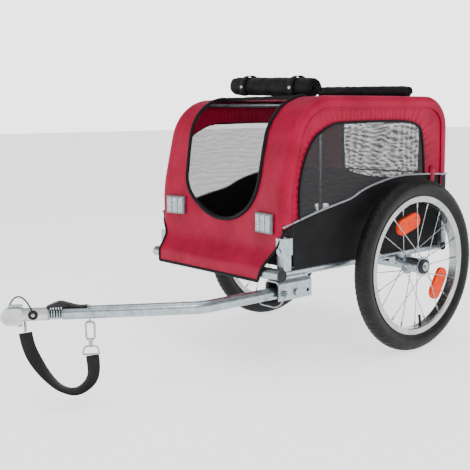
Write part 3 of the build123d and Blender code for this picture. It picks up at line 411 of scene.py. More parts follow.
class Finish:
    """A Principled material and helpers for its nodes; the plain colour stands in where no ramp is read."""

    def __init__(self, name, colour, roughness, metallic=0.0, **sockets):
        self.material = bpy.data.materials.new(name)
        self.material.use_nodes = True
        self.tree = self.material.node_tree
        self.shader = self.tree.nodes["Principled BSDF"]
        self.shader.inputs["Base Color"].default_value = (*colour, 1)
        self.shader.inputs["Roughness"].default_value = roughness
        self.shader.inputs["Metallic"].default_value = metallic
        glossy = metallic or roughness < GLOSSY_BELOW
        self.shader.inputs["Specular IOR Level"].default_value = GLOSSY_SPECULAR if glossy else MATT_SPECULAR
        for socket, value in sockets.items():
            self.shader.inputs[socket.replace("_", " ")].default_value = value
        self.coords = self.node("ShaderNodeTexCoord").outputs["Object"]
        self.normal = None

    def node(self, kind, **values):
        made = self.tree.nodes.new(kind)
        for key, value in values.items():
            if key in made.inputs:
                made.inputs[key].default_value = value
            else:
                setattr(made, key, value)
        return made

    def link(self, source, target):
        self.tree.links.new(source, target)

    def noise(self, scale, detail=3.0, distortion=0.0):
        made = self.node("ShaderNodeTexNoise", Scale=scale, Detail=detail, Distortion=distortion)
        self.link(self.coords, made.inputs["Vector"])
        return made.outputs["Fac"]

    def cells(self, scale, output="Color"):
        made = self.node("ShaderNodeTexVoronoi", Scale=scale)
        self.link(self.coords, made.inputs["Vector"])
        return made.outputs[output]

    def bands(self, scale, direction, distortion=0.0):
        made = self.node("ShaderNodeTexWave", Scale=scale, Distortion=distortion, bands_direction=direction)
        self.link(self.coords, made.inputs["Vector"])
        return made.outputs["Fac"]

    def math(self, operation, first, second):
        made = self.node("ShaderNodeMath", operation=operation)
        for index, value in enumerate((first, second)):
            if isinstance(value, (int, float)):
                made.inputs[index].default_value = value
            else:
                self.link(value, made.inputs[index])
        return made.outputs[0]

    def mixed(self, first, first_share, second, second_share):
        """Two patterns added in the given shares."""
        scaled = self.math("MULTIPLY", first, first_share)
        return self.math("ADD", scaled, self.math("MULTIPLY", second, second_share))

    def ramp(self, source, stops):
        made = self.node("ShaderNodeValToRGB")
        ramp = made.color_ramp
        while len(ramp.elements) < len(stops):
            ramp.elements.new(0.5)
        for element, (position, colour) in zip(ramp.elements, stops):
            element.position = position
            element.color = (*colour, 1)
        self.link(source, made.inputs["Fac"])
        return made.outputs["Color"]

    def colour(self, source, stops):
        self.link(self.ramp(source, stops), self.shader.inputs["Base Color"])

    def roughness(self, source, low, high):
        made = self.node("ShaderNodeMapRange")
        made.inputs["To Min"].default_value = low
        made.inputs["To Max"].default_value = high
        self.link(source, made.inputs["Value"])
        self.link(made.outputs["Result"], self.shader.inputs["Roughness"])

    def bump(self, source, distance, strength=1.0):
        made = self.node("ShaderNodeBump", Distance=distance / 1000, Strength=strength)
        self.link(source, made.inputs["Height"])
        if self.normal is not None:
            self.link(self.normal, made.inputs["Normal"])
        self.normal = made.outputs["Normal"]
        self.link(self.normal, self.shader.inputs["Normal"])


def weave(finish):
    """Fine yarns: bands along X and Z crossed with each other, and fainter ones along Y."""
    scale = WAVE_LENGTH / YARN_PITCH
    crossed = finish.math("MULTIPLY", finish.bands(scale, "X"), finish.bands(scale, "Z"))
    crossed = finish.math("ADD", crossed, finish.math("MULTIPLY", finish.bands(scale, "Y"), 0.5))
    finish.bump(crossed, 0.12, 0.5)


def red_cloth():
    made = Finish("red_polyester", (0.45, 0.004, 0.035), 0.5, Sheen_Weight=0.16, Sheen_Roughness=0.3)
    made.shader.inputs["Sheen Tint"].default_value = (1.0, 0.25, 0.5, 1)
    # The broad noise darkens and lightens the cloth in patches the size of its folds, a painted fold shade;
    # the fine noise is the yarn's own heathered tone.
    shade = made.mixed(made.noise(16, 4), 0.7, made.noise(240, 2), 0.3)
    made.colour(shade, [
        (0.30, (0.19, 0.0005, 0.016)), (0.52, (0.28, 0.001, 0.026)), (0.75, (0.36, 0.002, 0.042)),
    ])
    made.roughness(made.noise(90), 0.42, 0.62)
    made.bump(made.noise(22, 3, 0.4), 2.2, 0.35)
    weave(made)
    return made.material


def black_cloth():
    made = Finish("black_polyester", (0.006, 0.006, 0.007), 0.6, Sheen_Weight=0.05, Sheen_Roughness=0.4)
    # The broad noise darkens and lightens the cloth in patches the size of its folds, a painted fold shade;
    # the fine noise is the yarn's own heathered tone.
    shade = made.mixed(made.noise(20, 4), 0.7, made.noise(260, 2), 0.3)
    made.colour(shade, [
        (0.3, (0.002, 0.002, 0.0025)), (0.55, (0.005, 0.005, 0.006)), (0.8, (0.012, 0.012, 0.014)),
    ])
    made.roughness(made.noise(80), 0.5, 0.72)
    made.bump(made.noise(26, 3, 0.4), 2.0, 0.35)
    weave(made)
    return made.material


def open_mesh(name, coverage, ripple):
    """Knitted netting: threads both ways with open holes, in light and dark waves where two nets overlap."""
    made = Finish(name, (0.02, 0.02, 0.022), 0.55, Sheen_Weight=0.2)
    made.coords = made.tree.nodes["Texture Coordinate"].outputs["UV"]
    scale = WAVE_LENGTH / NET_PITCH
    threads = made.math("MAXIMUM", made.bands(scale, "X", 0.5), made.bands(scale, "Y", 0.5))
    made.colour(made.noise(300), [(0.35, (0.010, 0.010, 0.011)), (0.7, (0.04, 0.04, 0.044))])
    made.bump(threads, 0.3, 0.6)
    waves = made.math("MULTIPLY", made.math("SUBTRACT", made.bands(26, "Y", 9.0), 0.5), ripple)
    solid = made.math("GREATER_THAN", threads, made.math("SUBTRACT", 1 - coverage, waves))
    made.link(solid, made.shader.inputs["Alpha"])
    return made.material


def webbing_cloth():
    made = Finish("black_webbing", (0.012, 0.012, 0.013), 0.62, Sheen_Weight=0.2, Sheen_Roughness=0.5)
    made.colour(made.noise(700, 2), [(0.35, (0.002, 0.002, 0.0025)), (0.7, (0.014, 0.014, 0.016))])
    ribs = made.math("ADD", made.bands(150, "DIAGONAL"), made.math("MULTIPLY", made.noise(900, 2), 0.6))
    made.bump(ribs, 0.25, 0.6)
    made.roughness(made.noise(200), 0.5, 0.75)
    return made.material


def reflective_piping():
    made = Finish("grey_piping", (0.34, 0.35, 0.36), 0.38, 0.25)
    made.colour(made.noise(600, 2), [(0.3, (0.17, 0.18, 0.20)), (0.7, (0.32, 0.34, 0.37))])
    made.bump(made.cells(1400, "Distance"), 0.1, 0.6)
    return made.material


def zinc():
    """Bright zinc plate: soft spangles, faint drawing marks and duller patches."""
    made = Finish("zinc_plate", (0.31, 0.36, 0.39), 0.3, 1.0)
    shade = made.mixed(made.cells(120, "Distance"), 0.45, made.noise(35, 5), 0.6)
    made.colour(shade, [(0.25, (0.22, 0.26, 0.29)), (0.5, (0.31, 0.36, 0.39)), (0.8, (0.42, 0.47, 0.50))])
    made.roughness(made.noise(60, 5), 0.22, 0.42)
    made.bump(made.noise(420, 3), 0.05, 0.5)
    return made.material


def plain(made, shade, stops, polish, grain):
    """Noise over the colour, the roughness (scale, detail, low, high) and the bump (with depth, strength)."""
    made.colour(made.noise(*shade), stops)
    made.roughness(made.noise(*polish[:2]), *polish[2:])
    made.bump(made.noise(*grain[:2]), *grain[2:])
    return made.material


def bright_steel():
    made = Finish("bright_steel", (0.78, 0.79, 0.81), 0.14, 1.0)
    stops = [(0.3, (0.26, 0.27, 0.28)), (0.7, (0.42, 0.43, 0.44))]
    return plain(made, (70, 4), stops, (150, 4, 0.08, 0.24), (500, 3, 0.03, 0.4))


def rim_metal():
    made = Finish("rim_metal", (0.80, 0.81, 0.83), 0.26, 1.0)
    made.colour(made.noise(40, 4), [(0.3, (0.34, 0.36, 0.36)), (0.7, (0.48, 0.50, 0.50))])
    made.roughness(made.noise(120, 4), 0.18, 0.36)
    made.bump(made.bands(420, "Y"), 0.03, 0.4)
    return made.material


def cast_aluminium():
    made = Finish("cast_aluminium", (0.82, 0.83, 0.84), 0.42, 0.75)
    stops = [(0.3, (0.42, 0.43, 0.44)), (0.7, (0.60, 0.60, 0.61))]
    return plain(made, (55, 5), stops, (180, 4, 0.32, 0.55), (650, 4, 0.12, 0.6))


def tyre_rubber():
    made = Finish("tyre_rubber", (0.007, 0.007, 0.008), 0.55, Specular_IOR_Level=0.2)
    stops = [(0.3, (0.003, 0.003, 0.0035)), (0.6, (0.007, 0.007, 0.008)), (0.85, (0.018, 0.018, 0.018))]
    return plain(made, (45, 5), stops, (90, 4, 0.42, 0.62), (900, 3, 0.1, 0.6))


def soft_rubber():
    made = Finish("soft_rubber", (0.016, 0.016, 0.018), 0.5)
    stops = [(0.3, (0.010, 0.010, 0.011)), (0.75, (0.030, 0.030, 0.033))]
    return plain(made, (80, 4), stops, (150, 3, 0.4, 0.65), (700, 3, 0.08, 0.5))


def moulded_plastic():
    made = Finish("moulded_plastic", (0.018, 0.018, 0.020), 0.45)
    made.colour(made.noise(120, 3), [(0.3, (0.012, 0.012, 0.013)), (0.75, (0.028, 0.028, 0.031))])
    made.roughness(made.noise(200, 3), 0.35, 0.55)
    made.bump(made.cells(1100, "Distance"), 0.06, 0.5)
    return made.material


def orange_lens():
    made = Finish("orange_lens", (0.95, 0.09, 0.001), 0.45)
    prisms = made.cells(330, "Distance")
    made.colour(prisms, [
        (0.05, (0.90, 0.07, 0.0005)), (0.45, (0.75, 0.040, 0.0003)), (0.9, (0.50, 0.02, 0.0001)),
    ])
    made.bump(prisms, 0.6, 0.7)
    return made.material


def clear_lens():
    made = Finish("clear_lens", (0.5, 0.55, 0.6), 0.2, 0.5)
    prisms = made.cells(420, "Distance")
    made.colour(prisms, [(0.05, (0.70, 0.76, 0.80)), (0.4, (0.36, 0.42, 0.46)), (0.9, (0.12, 0.15, 0.18))])
    made.bump(prisms, 0.6, 0.8)
    return made.material


def lens_frame():
    made = Finish("lens_frame", (0.10, 0.105, 0.11), 0.3, Coat_Weight=0.3)
    made.colour(made.noise(160, 3), [(0.3, (0.07, 0.075, 0.08)), (0.7, (0.14, 0.15, 0.155))])
    made.bump(made.noise(500, 2), 0.05, 0.5)
    return made.material


def pale_floor():
    made = Finish("pale_floor", (0.93, 0.93, 0.93), 0.9)
    made.shader.inputs["Emission Color"].default_value = (1, 1, 1, 1)
    made.shader.inputs["Emission Strength"].default_value = 1.3
    made.colour(made.noise(3, 3), [(0.3, (0.92, 0.92, 0.92)), (0.7, (0.95, 0.95, 0.95))])
    return made.material


RED = red_cloth()
BLACK = black_cloth()
WEBBING = webbing_cloth()
PIPE = reflective_piping()
SIDE_NET = open_mesh("side_netting", 0.40, 0.10)
REAR_NET = open_mesh("rear_netting", 0.20, 0.36)
ZINC = zinc()
BRIGHT = bright_steel()
RIM = rim_metal()
CAST = cast_aluminium()
TYRE = tyre_rubber()
RUBBER = soft_rubber()
PLASTIC = moulded_plastic()
ORANGE = orange_lens()
CLEAR = clear_lens()
LENS_FRAME = lens_frame()


# Cabin cover ---

ARCH_POINTS = 40

# Lower corners of the front panel and the gussets there, as (run across from the middle, height)
NEAR_CORNER = [(165, 206), (187, 262), (203, 286), (211, 303), (218, 314), (CROSS_HALF, 321)]
FAR_CORNER = [(CROSS_HALF, 322), (214, 306), (203, 290), (195, 272), (191, 252), (191, 206)]
GUSSET = [(197, 299), (CROSS_HALF, 299), (CROSS_HALF, 323), (197, 323)]


def recess(x, y, z):
    """How far the front panel is drawn in between its stiff side edges."""
    if x < RECESS_FROM_X or abs(y) > FACE_HALF:
        return 0.0
    across = (1 - (y / FACE_HALF) ** 2) ** 1.4
    return RECESS_DEPTH * across * math.exp(-(((z - RECESS_Z) / RECESS_SPREAD) ** 2))


def folds(point, scale, size):
    """Soft wrinkles of a cloth stretched over tubes."""
    return size * noise.noise(Vector(point) / scale)


def cover_point(u, s, sink=0.0):
    """Place of the cover: u runs across it and down its sides, s along the side view."""
    (x, z), (nx, nz) = profile_at(s)
    across = abs(u)
    if across < FACE_HALF:
        y, depth = across, 0.0
    elif across < FACE_HALF + CORNER_RUN:
        angle = (across - FACE_HALF) / CORNER_RADIUS
        y = FACE_HALF + CORNER_RADIUS * math.sin(angle)
        depth = CORNER_RADIUS * (1 - math.cos(angle))
    else:
        y, depth = CABIN_HALF_WIDTH, CORNER_RADIUS + across - FACE_HALF - CORNER_RUN
    y = math.copysign(y, u)
    flatness = max(0.0, 1 - (y / CABIN_HALF_WIDTH) ** 2)
    wrinkle = folds((x, y, z), 55, 2.4 * flatness)
    wrinkle += folds((x * 2.2, y, z * 0.5), 24, 0.9 * min(1.0, 4 * flatness))
    if z > BED_FROM_Z:
        bedded = max(0.0, 1 - (y / BED_HALF_LENGTH) ** 4)
        hollow = BED_DEPTH + BED_EXTRA * y / BED_EXTRA_Y
        depth += bedded * hollow * math.exp(-(((x - FRONT_ROLL_X) / BED_SPREAD) ** 2))
    depth += recess(x, y, z) + max(0.0, wrinkle) + sink
    return x - nx * depth, y, z - nz * depth


def arch(s_low, s_high, low_half, high_half, radius):
    """Outline of an end opening in the flat cover: a rounded U that widens to its top."""
    sides = []
    for index in range(ARCH_POINTS):
        share = index / (ARCH_POINTS - 1)
        s = s_low + (s_high - s_low) * share**1.6
        rise = s - s_low
        half = low_half + (high_half - low_half) * rise / (s_high - s_low)
        if rise < radius:
            half *= math.sqrt(max(0.0, 1 - (1 - rise / radius) ** 2)) * 0.999 + 0.001
        sides.append((half, s))
    return [*sides, *[(-half, s) for half, s in reversed(sides[1:])]]


front_arch = arch(front_s(320), roof_s(240), 124, 138, 100)
rear_rise = rear_s(380) - roof_s(-100)
rear_arch = [(u, rear_s(380) - s) for u, s in reversed(arch(0, rear_rise, 128, 136, 26))]


def front_hem():
    """Edge of the front panel in the flat cover, from the far lower corner round to the near side."""
    near = [(u, front_s(z)) for u, z in NEAR_CORNER]
    far = [(-u, front_s(z)) for u, z in FAR_CORNER]
    return [*far, *near]


def cover_outline():
    """Edge of the whole flat cover: the front hem, then the back with a notch at each side."""
    back = [(CROSS_HALF, rear_s(300)), (REAR_HALF, rear_s(298)), (REAR_HALF, profile_length - 1)]
    return [*front_hem(), *back, *[(-u, s) for u, s in reversed(back)]]


def close_with_fold(obj):
    """Attaches a piece to the chassis and gives it a mesh of its own."""
    bpy.context.view_layer.update()
    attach(obj, "chassis")
    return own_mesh(obj)


def make_cover():
    cover, centres = patch("cabin_cover", cover_outline(), [front_arch, rear_arch], cover_point, [RED, BLACK])
    dark_from = rear_s(REAR_PIPING_Z)
    for polygon, centre in zip(cover.data.polygons, centres):
        polygon.material_index = 1 if centre[1] > dark_from else 0
    thicken(cover, CLOTH)
    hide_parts("cover_front", "cover_roof", "cover_rear")
    close_with_fold(cover)

    screen, _ = patch("rear_netting", rear_arch, [], lambda u, s: cover_point(u, s, 1.2), REAR_NET)
    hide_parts("rear_screen")
    close_with_fold(screen)

    bind_opening("front", front_arch)
    bind_opening("rear", rear_arch)
    path = [at(*cover_point(u, s, 0.4)) for u, s in even(front_hem(), 5)]
    edging = sweep("front_hem", path, circle(3.4, 8), BLACK)
    close_with_fold(edging)

    for side in (1, -1):
        edge_side(side)
    run = np.linspace(-CROSS_HALF, CROSS_HALF, 90)
    band = [at(*cover_point(u, dark_from, -0.8)) for u in run]
    close_with_fold(sweep("rear_piping", band, circle(2.0, 8), PIPE))


def bind_opening(name, loop):
    """Bound edge of an end opening and the row of stitches round it."""
    edge = [at(*cover_point(u, s, -1.0)) for u, s in loop_of(loop, 5)]
    binding = sweep(f"{name}_opening_binding", edge, circle(4.2, 10), BLACK, closed=True)
    close_with_fold(binding)
    grown = [(u * 1.055, s + (9 if s > loop[0][1] + 1 else -7)) for u, s in loop]
    seam = [at(*cover_point(u, s, -0.4)) for u, s in grown if abs(u) > 1]
    close_with_fold(stitches(f"{name}_opening_stitches", seam, BLACK))


def edge_side(side):
    """Seam and stitches along one side of the cover, and the gusset at its lower front corner."""
    name = SIDE_NAME[side]
    run = np.linspace(front_s(318), rear_s(301), 190)
    lip = [at(*cover_point(side * (CROSS_HALF - 1), s, -0.2)) for s in run]
    close_with_fold(sweep(f"roof_seam_{name}", lip, circle(1.5, 8), RED))
    thread = [at(*cover_point(side * (CROSS_HALF - 6), s, -0.3)) for s in run]
    close_with_fold(stitches(f"roof_stitches_{name}", thread, RED))
    corner = [(side * u, front_s(z)) for u, z in GUSSET]
    gusset, _ = patch(
        f"corner_gusset_{name}", corner, [], lambda u, s: cover_point(u, s, 2.4), BLACK, flip=side < 0
    )
    thicken(gusset, CLOTH)
    close_with_fold(gusset)


# Side fabric ---


window_line = smooth(WINDOW, 6)
sill = [Vector(p) for p in piping_line if SILL_REAR_X < p[0] < SILL_FRONT_X]
window_outline = [*window_line, *reversed(sill)]


def border_point(side):
    """The gathered border: puckers fan out from the window, deepest near its edge."""
    edge = even(window_line, 1.0)

    def place(x, z):
        away = np.hypot(edge[:, 0] - x, edge[:, 1] - z)
        run = float(np.argmin(away)) + folds((x, z, 7), 40, 6.0)
        away = float(away.min())
        # Fine puckers at the edge, a broader row 42 mm out, then a slight unevenness over all
        depth = 2.6 * math.exp(-away / 24) * (0.5 + 0.5 * math.sin(run / 2.1 + 0.03 * away))
        depth += 1.3 * (0.5 + 0.5 * math.sin(run / 3.3 + 1.7)) * math.exp(-abs(away - 42) / 18)
        uneven = 0.4 * (1 + noise.noise(Vector((x, z, side)) / 40))
        return x, side * (SIDE_Y - depth - uneven), z

    return place


def lower_point(side):
    """The lower panel hangs with a slight sag."""

    def place(x, z):
        sag = 1.3 * (1 + noise.noise(Vector((x * 0.6, z * 1.5, side * 50)) / 45))
        return x, side * (SIDE_Y - sag), z

    return place


def border_outline():
    """Red cloth between the piping and a line under the lip of the cover."""
    run = np.linspace(front_s(322), rear_s(402), 200)
    top = []
    for s in run:
        (x, z), (nx, nz) = profile_at(s)
        top.append((x - nx * BORDER_TUCK, z - nz * BORDER_TUCK))
    low = [tuple(p) for p in piping_line if top[-1][0] < p[0] < top[0][0]]
    return [*top, *reversed(low)]


def lower_outline():
    """Black cloth from the piping down to the side rail."""
    low = [tuple(p) for p in piping_line]
    return [*low, (-167, 300), (-141, 297), (-141, 229), (351, 229), (353, 297), (379, 301)]


def make_side(side):
    name = SIDE_NAME[side]
    body = SIDE_BODY[side]
    border, _ = patch(
        f"side_border_{name}", border_outline(), [window_outline], border_point(side), RED,
        flip=side > 0, step=GATHER_STEP,
    )
    thicken(border, CLOTH)
    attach(border, body)
    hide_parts(f"side_panel_{name}")

    def net_point(x, z):
        return x, side * (SIDE_Y - 1.5 - folds((x, z, 3), 60, 0.8)), z

    net, _ = patch(f"window_netting_{name}", window_outline, [], net_point, SIDE_NET, flip=side > 0)
    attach(net, body)
    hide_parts(f"window_mesh_{name}")

    lower, _ = patch(f"side_lower_{name}", lower_outline(), [], lower_point(side), BLACK, flip=side > 0)
    thicken(lower, CLOTH)
    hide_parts("side_skirts")
    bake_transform(lower)

    edge = [at(x, side * (SIDE_Y + 0.2), z) for x, z in window_line]
    binding = sweep(f"window_binding_{name}", edge, circle(3.0, 8), BLACK)
    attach(binding, body)
    thread = []
    for x, z in window_line:
        grown_x = x + (x - WINDOW_X) * 0.03
        grown_z = z + (z - WINDOW_Z) * 0.045
        thread.append(at(grown_x, side * (SIDE_Y + 0.4), grown_z))
    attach(stitches(f"window_stitches_{name}", thread, RED), body)
    path = [at(x, side * (SIDE_Y + 0.6), z) for x, z in piping_line]
    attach(sweep(f"side_piping_{name}", path, circle(2.3, 8), PIPE), body)
    path = [at(TAB_X, side * (SIDE_Y + 0.9 + lift), z) for z, lift in TAB_DROP]
    tab = ribbon(f"pull_tab_{name}", path, Vector((1, 0, 0)), TAPE_WIDTH, TAPE_THICKNESS, RED)
    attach(tab, body)


# Rolled-up covers, straps and markers ---

# Front reflectors: their run across from the middle, and sizes (depth, width, height)
MARKER_U = 157.0
MARKER_BASE = (7.0, 60.0, 43.0)
MARKER_LENS = (4.0, 15.6, 36.0)
LENS_PITCH = 18.2
LENS_LIFT = 3.2


def rolled_cover(name, x, z, radius, half, turns, tilt):
    """A sheet rolled into a spiral, lumpy along its length and slack at its ends."""
    rows = 64
    points = int(turns * 36)
    verts, faces = [], []
    for row in range(rows + 1):
        y = -half + 2 * half * row / rows
        end = max(0.0, abs(y) / half - 0.86) / 0.14
        for index in range(points + 1):
            share = index / points
            angle = 2 * math.pi * turns * share + 0.9
            size = radius * (0.22 + 0.78 * share) * (1 - 0.06 * end * share)
            size -= 1.7 * (1 + noise.noise(Vector((y / 26, math.cos(angle), math.sin(angle)))))
            size -= 1.0 * (1 + noise.noise(Vector((y / 9, 2 * math.cos(angle), 2 * math.sin(angle)))))
            wave = 1.2 * noise.noise(Vector((y / 35, share * 2, 4.0)))
            out = size * math.cos(angle) * 1.04
            up = size * math.sin(angle) * 0.97
            verts.append(at(x + out, y + wave, z - tilt * y / half + up))
    ring = points + 1
    for row in range(rows):
        faces += bridge(row * ring, (row + 1) * ring, ring, closed=False)
    roll = new_object(name, verts, faces, BLACK)
    note_area(roll)
    thicken(roll, ROLL_CLOTH)
    return roll


ROLL_STRAP_Y = 82.0
SNAP_OUTLINE = [(-1, 4.0), (0.8, 4.0), (1.5, 3.4), (1.9, 2.0), (1.2, 1.3)]

# Name, x, height, radius, half length, turns and how far the left end hangs below the middle
ROLLS = (
    ("front", FRONT_ROLL_X, 612.0, 25.5, 132.0, 3.4, 6.0),
    ("rear", -100.0, 604.0, 17.0, 148.0, 2.4, 4.0),
)


def make_rolls():
    for name, x, z, radius, half, turns, tilt in ROLLS:
        roll = rolled_cover(f"{name}_roll", x, z, radius, half, turns, tilt)
        close_with_fold(roll)
    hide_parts("cover_rolls")
    for side in (1, -1):
        strap_roll(side)


def strap_roll(side):
    """One of the two straps that hold the front roll, and its snap."""
    name = SIDE_NAME[side]
    _, x, z, radius, half, _, tilt = ROLLS[0]
    y = side * ROLL_STRAP_Y
    middle = z - tilt * y / half
    reach = radius + 1.0
    turn = np.linspace(-0.9, 2 * math.pi - 2.3, 40)
    loop = [at(x + 1.02 * reach * math.cos(a), y, middle + reach * math.sin(a)) for a in turn]
    strap = ribbon(f"roll_strap_{name}", loop, Vector((0, 1, 0)), TAPE_WIDTH, TAPE_THICKNESS, BLACK)
    close_with_fold(strap)
    if side > 0:
        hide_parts("roll_straps")
    front = at(x + 1.02 * reach + 0.6, y, middle)
    stud = lathe(f"roll_snap_{name}", front, Vector((1.0, 0, 0.05)), SNAP_OUTLINE, BRIGHT)
    close_with_fold(stud)


def rounded_box(name, size, mat, radius):
    """A moulded block with rounded edges about its own middle, sizes in millimetres."""
    mesh = bpy.data.meshes.new(name)
    shape = bmesh.new()
    bmesh.ops.create_cube(shape, size=1.0)
    bmesh.ops.scale(shape, vec=Vector(size) / 1000, verts=shape.verts)
    bmesh.ops.bevel(shape, geom=shape.edges[:], offset=radius / 1000, segments=3, profile=0.6, affect="EDGES")
    shape.to_mesh(mesh)
    shape.free()
    mesh.materials.append(mat)
    mesh.shade_smooth()
    obj = bpy.data.objects.new(name, mesh)
    collection.objects.link(obj)
    return obj


def make_markers():
    """Front reflectors: a frame each side with three lenses, turned to lie on the front panel."""
    for side in (1, -1):
        name = SIDE_NAME[side]
        s = front_s(333 - 8 * side)
        u = side * MARKER_U
        centre = at(*cover_point(u, s, -4.0))
        inward = at(*cover_point(u - side * 20, s)) - at(*cover_point(u + side * 12, s))
        left = (inward * -side).normalized()
        upward = (at(*cover_point(u, s + 15)) - at(*cover_point(u, s - 15))).normalized()
        outward = left.cross(upward).normalized()
        turn = Matrix((outward, left, upward)).transposed().to_4x4()
        base = rounded_box(f"marker_base_{name}", MARKER_BASE, LENS_FRAME, 2.6)
        lenses = [rounded_box(f"marker_lens_{name}_{index}", MARKER_LENS, CLEAR, 1.6) for index in range(3)]
        for piece, spot in [(base, 0), *zip(lenses, (-LENS_PITCH, 0.0, LENS_PITCH))]:
            lift = outward * (LENS_LIFT / 1000 if piece is not base else 0)
            piece.data.transform(Matrix.Translation(centre + left * (spot / 1000) + lift) @ turn)
            close_with_fold(piece)
        if side > 0:
            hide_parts("front_markers")


# Wheels ---

TREAD_EDGE = 1.35
TREAD_DEPTH = 2.0
TYRE_STEPS = 704
TYRE_ARC = 2.2

# The tyre's sides down to its beads in metres, as (drop from the crown circle, half width)
TYRE_LEGS = ((0.0125, 0.0146), (0.0165, 0.0124), (0.0200, 0.0110), (0.0240, 0.0107))


def tread(angle, around):
    """Depth of the tyre's grooves: a wavy channel on each shoulder and short cross cuts."""
    shoulder = abs(around)
    if shoulder > TREAD_EDGE:
        return 0.0
    wave = 0.80 + 0.13 * math.sin(angle * 44)
    channel = math.exp(-(((shoulder - wave) / 0.055) ** 2))
    middle = math.exp(-((shoulder / 0.07) ** 2))
    cut = max(0.0, math.sin(angle * 88 + 5.5 * shoulder)) ** 6 if 0.22 < shoulder < 1.15 else 0.0
    return TREAD_DEPTH * max(channel, 0.8 * middle, 0.9 * cut)


def make_tyre(side):
    name = SIDE_NAME[side]
    low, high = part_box(f"tyre_{name}")
    centre = (low + high) / 2
    outer = (high.z - low.z) / 2
    width = (high.y - low.y) / 2
    crown = outer - width
    legs = [(crown - drop, half) for drop, half in TYRE_LEGS]
    arcs = np.linspace(-TYRE_ARC, TYRE_ARC, 44)
    ring = len(arcs) + 2 * len(legs)
    verts, faces = [], []
    for step in range(TYRE_STEPS):
        angle = 2 * math.pi * step / TYRE_STEPS
        spoke = Vector((math.cos(angle), 0, math.sin(angle)))
        section = [(radius, -y) for radius, y in reversed(legs)]
        for around in arcs:
            size = width - tread(angle, around) / 1000
            section.append((crown + math.cos(around) * size, math.sin(around) * size))
        section += legs
        verts += [centre + spoke * radius + Vector((0, y, 0)) for radius, y in section]
    for step in range(TYRE_STEPS):
        faces += bridge(step * ring, (step + 1) % TYRE_STEPS * ring, ring, closed=False)
    tyre = new_object(f"treaded_tyre_{name}", verts, faces, TYRE)
    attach(tyre, f"wheel_{name}")
    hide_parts(f"tyre_{name}")


# Strap, tether and small pieces of the hitch ---

# The drawbar's bend: its place, its angle and the direction to the left past it
BEND_X = 580
BEND_Y = 200
BEND = math.radians(33)
LEFTWARD = Vector((math.sin(BEND), math.cos(BEND), 0))

STRAP_WIDTH = 25.0
STRAP_THICKNESS = 2.0
TETHER_RADIUS = 1.5

# Routes as (distance past the bend, height, offset to the left)
STRAP_ROUTE = [
    (334, 149.4, 0), (331, 126, 1), (319, 97, 3), (299, 65, 4), (275, 38, 3), (246, 27, 0), (221, 41, -3),
    (208, 66, -3), (212, 99.4, -1),
]
TETHER_ROUTE = [
    (317, 186, 14.4), (318, 195, 15.5), (323, 204, 14), (330, 214, 9), (341, 221, 4), (354, 216, 1),
    (360, 204.4, 0),
]


def station(distance, height, offset):
    """A point by its distance past the drawbar's bend, its height and its offset to the left."""
    x = BEND_X + distance * math.cos(BEND) + offset * math.sin(BEND)
    y = BEND_Y - distance * math.sin(BEND) + offset * math.cos(BEND)
    return at(x, y, height)


def nurbs(name, route, radius):
    """A smooth line with the route's points as its control points."""
    data = bpy.data.curves.new(name, "CURVE")
    data.dimensions = "3D"
    data.resolution_u = 12
    data.bevel_depth = radius / 1000
    data.bevel_resolution = 4
    data.use_fill_caps = True
    spline = data.splines.new("NURBS")
    spline.points.add(len(route) - 1)
    for point, spot in zip(spline.points, route):
        point.co = (*station(*spot), 1)
    spline.order_u = 3
    spline.use_endpoint_u = True
    obj = bpy.data.objects.new(name, data)
    collection.objects.link(obj)
    return obj


def line_of(route):
    """Points read from the route's smooth line."""
    curve = nurbs("route_line", route, 0.0)
    bpy.context.view_layer.update()
    mesh = bpy.data.meshes.new_from_object(curve)
    points = [vertex.co.copy() for vertex in mesh.vertices]
    bpy.data.objects.remove(curve)
    return points


def length_of(path):
    return sum((b - a).length for a, b in zip(path, path[1:]))


def make_strap():
    """The safety strap, which twists along its way, and the drop pin's tether."""
    path = line_of(STRAP_ROUTE)
    sides = []
    for index, point in enumerate(path):
        along = (path[min(index + 1, len(path) - 1)] - path[max(index - 1, 0)]).normalized()
        share = index / (len(path) - 1)
        lean = math.radians(12 + 76 * min(1.0, abs(2 * share - 1.1) * 1.15) ** 1.6)
        sides.append(LEFTWARD * math.cos(lean) + along.cross(LEFTWARD).normalized() * math.sin(lean))
    strap = ribbon("webbing_strap", path, sides, STRAP_WIDTH, STRAP_THICKNESS, WEBBING)
    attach(strap, "drawbar")
    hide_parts("safety_strap")
    tether = nurbs("tether_cord", TETHER_ROUTE, TETHER_RADIUS)
    tether.data.materials.append(WEBBING)
    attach(tether, "hitch")
    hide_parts("pin_tether")
    length_of(line_of(TETHER_ROUTE))


def make_hitch_details():
    """Ring and rivet that hold the tether to the head."""
    spot = station(317, 185.5, 12.4)
    ring_outline = [(-0.5, 9.0), (1.6, 9.2), (2.6, 8.2), (2.6, 4.6), (1.2, 4.3)]
    rivet_outline = [(-1.0, 4.2), (2.2, 4.2), (3.3, 3.3), (3.7, 1.4)]
    ring = lathe("tether_ring", spot, LEFTWARD, ring_outline, WEBBING)
    rivet = lathe("tether_rivet", spot, LEFTWARD, rivet_outline, BRIGHT)
    for piece, slot in ((ring, "black_fabric"), (rivet, "chrome")):
        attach(piece, "hitch")


# Carried-over CAD pieces ---


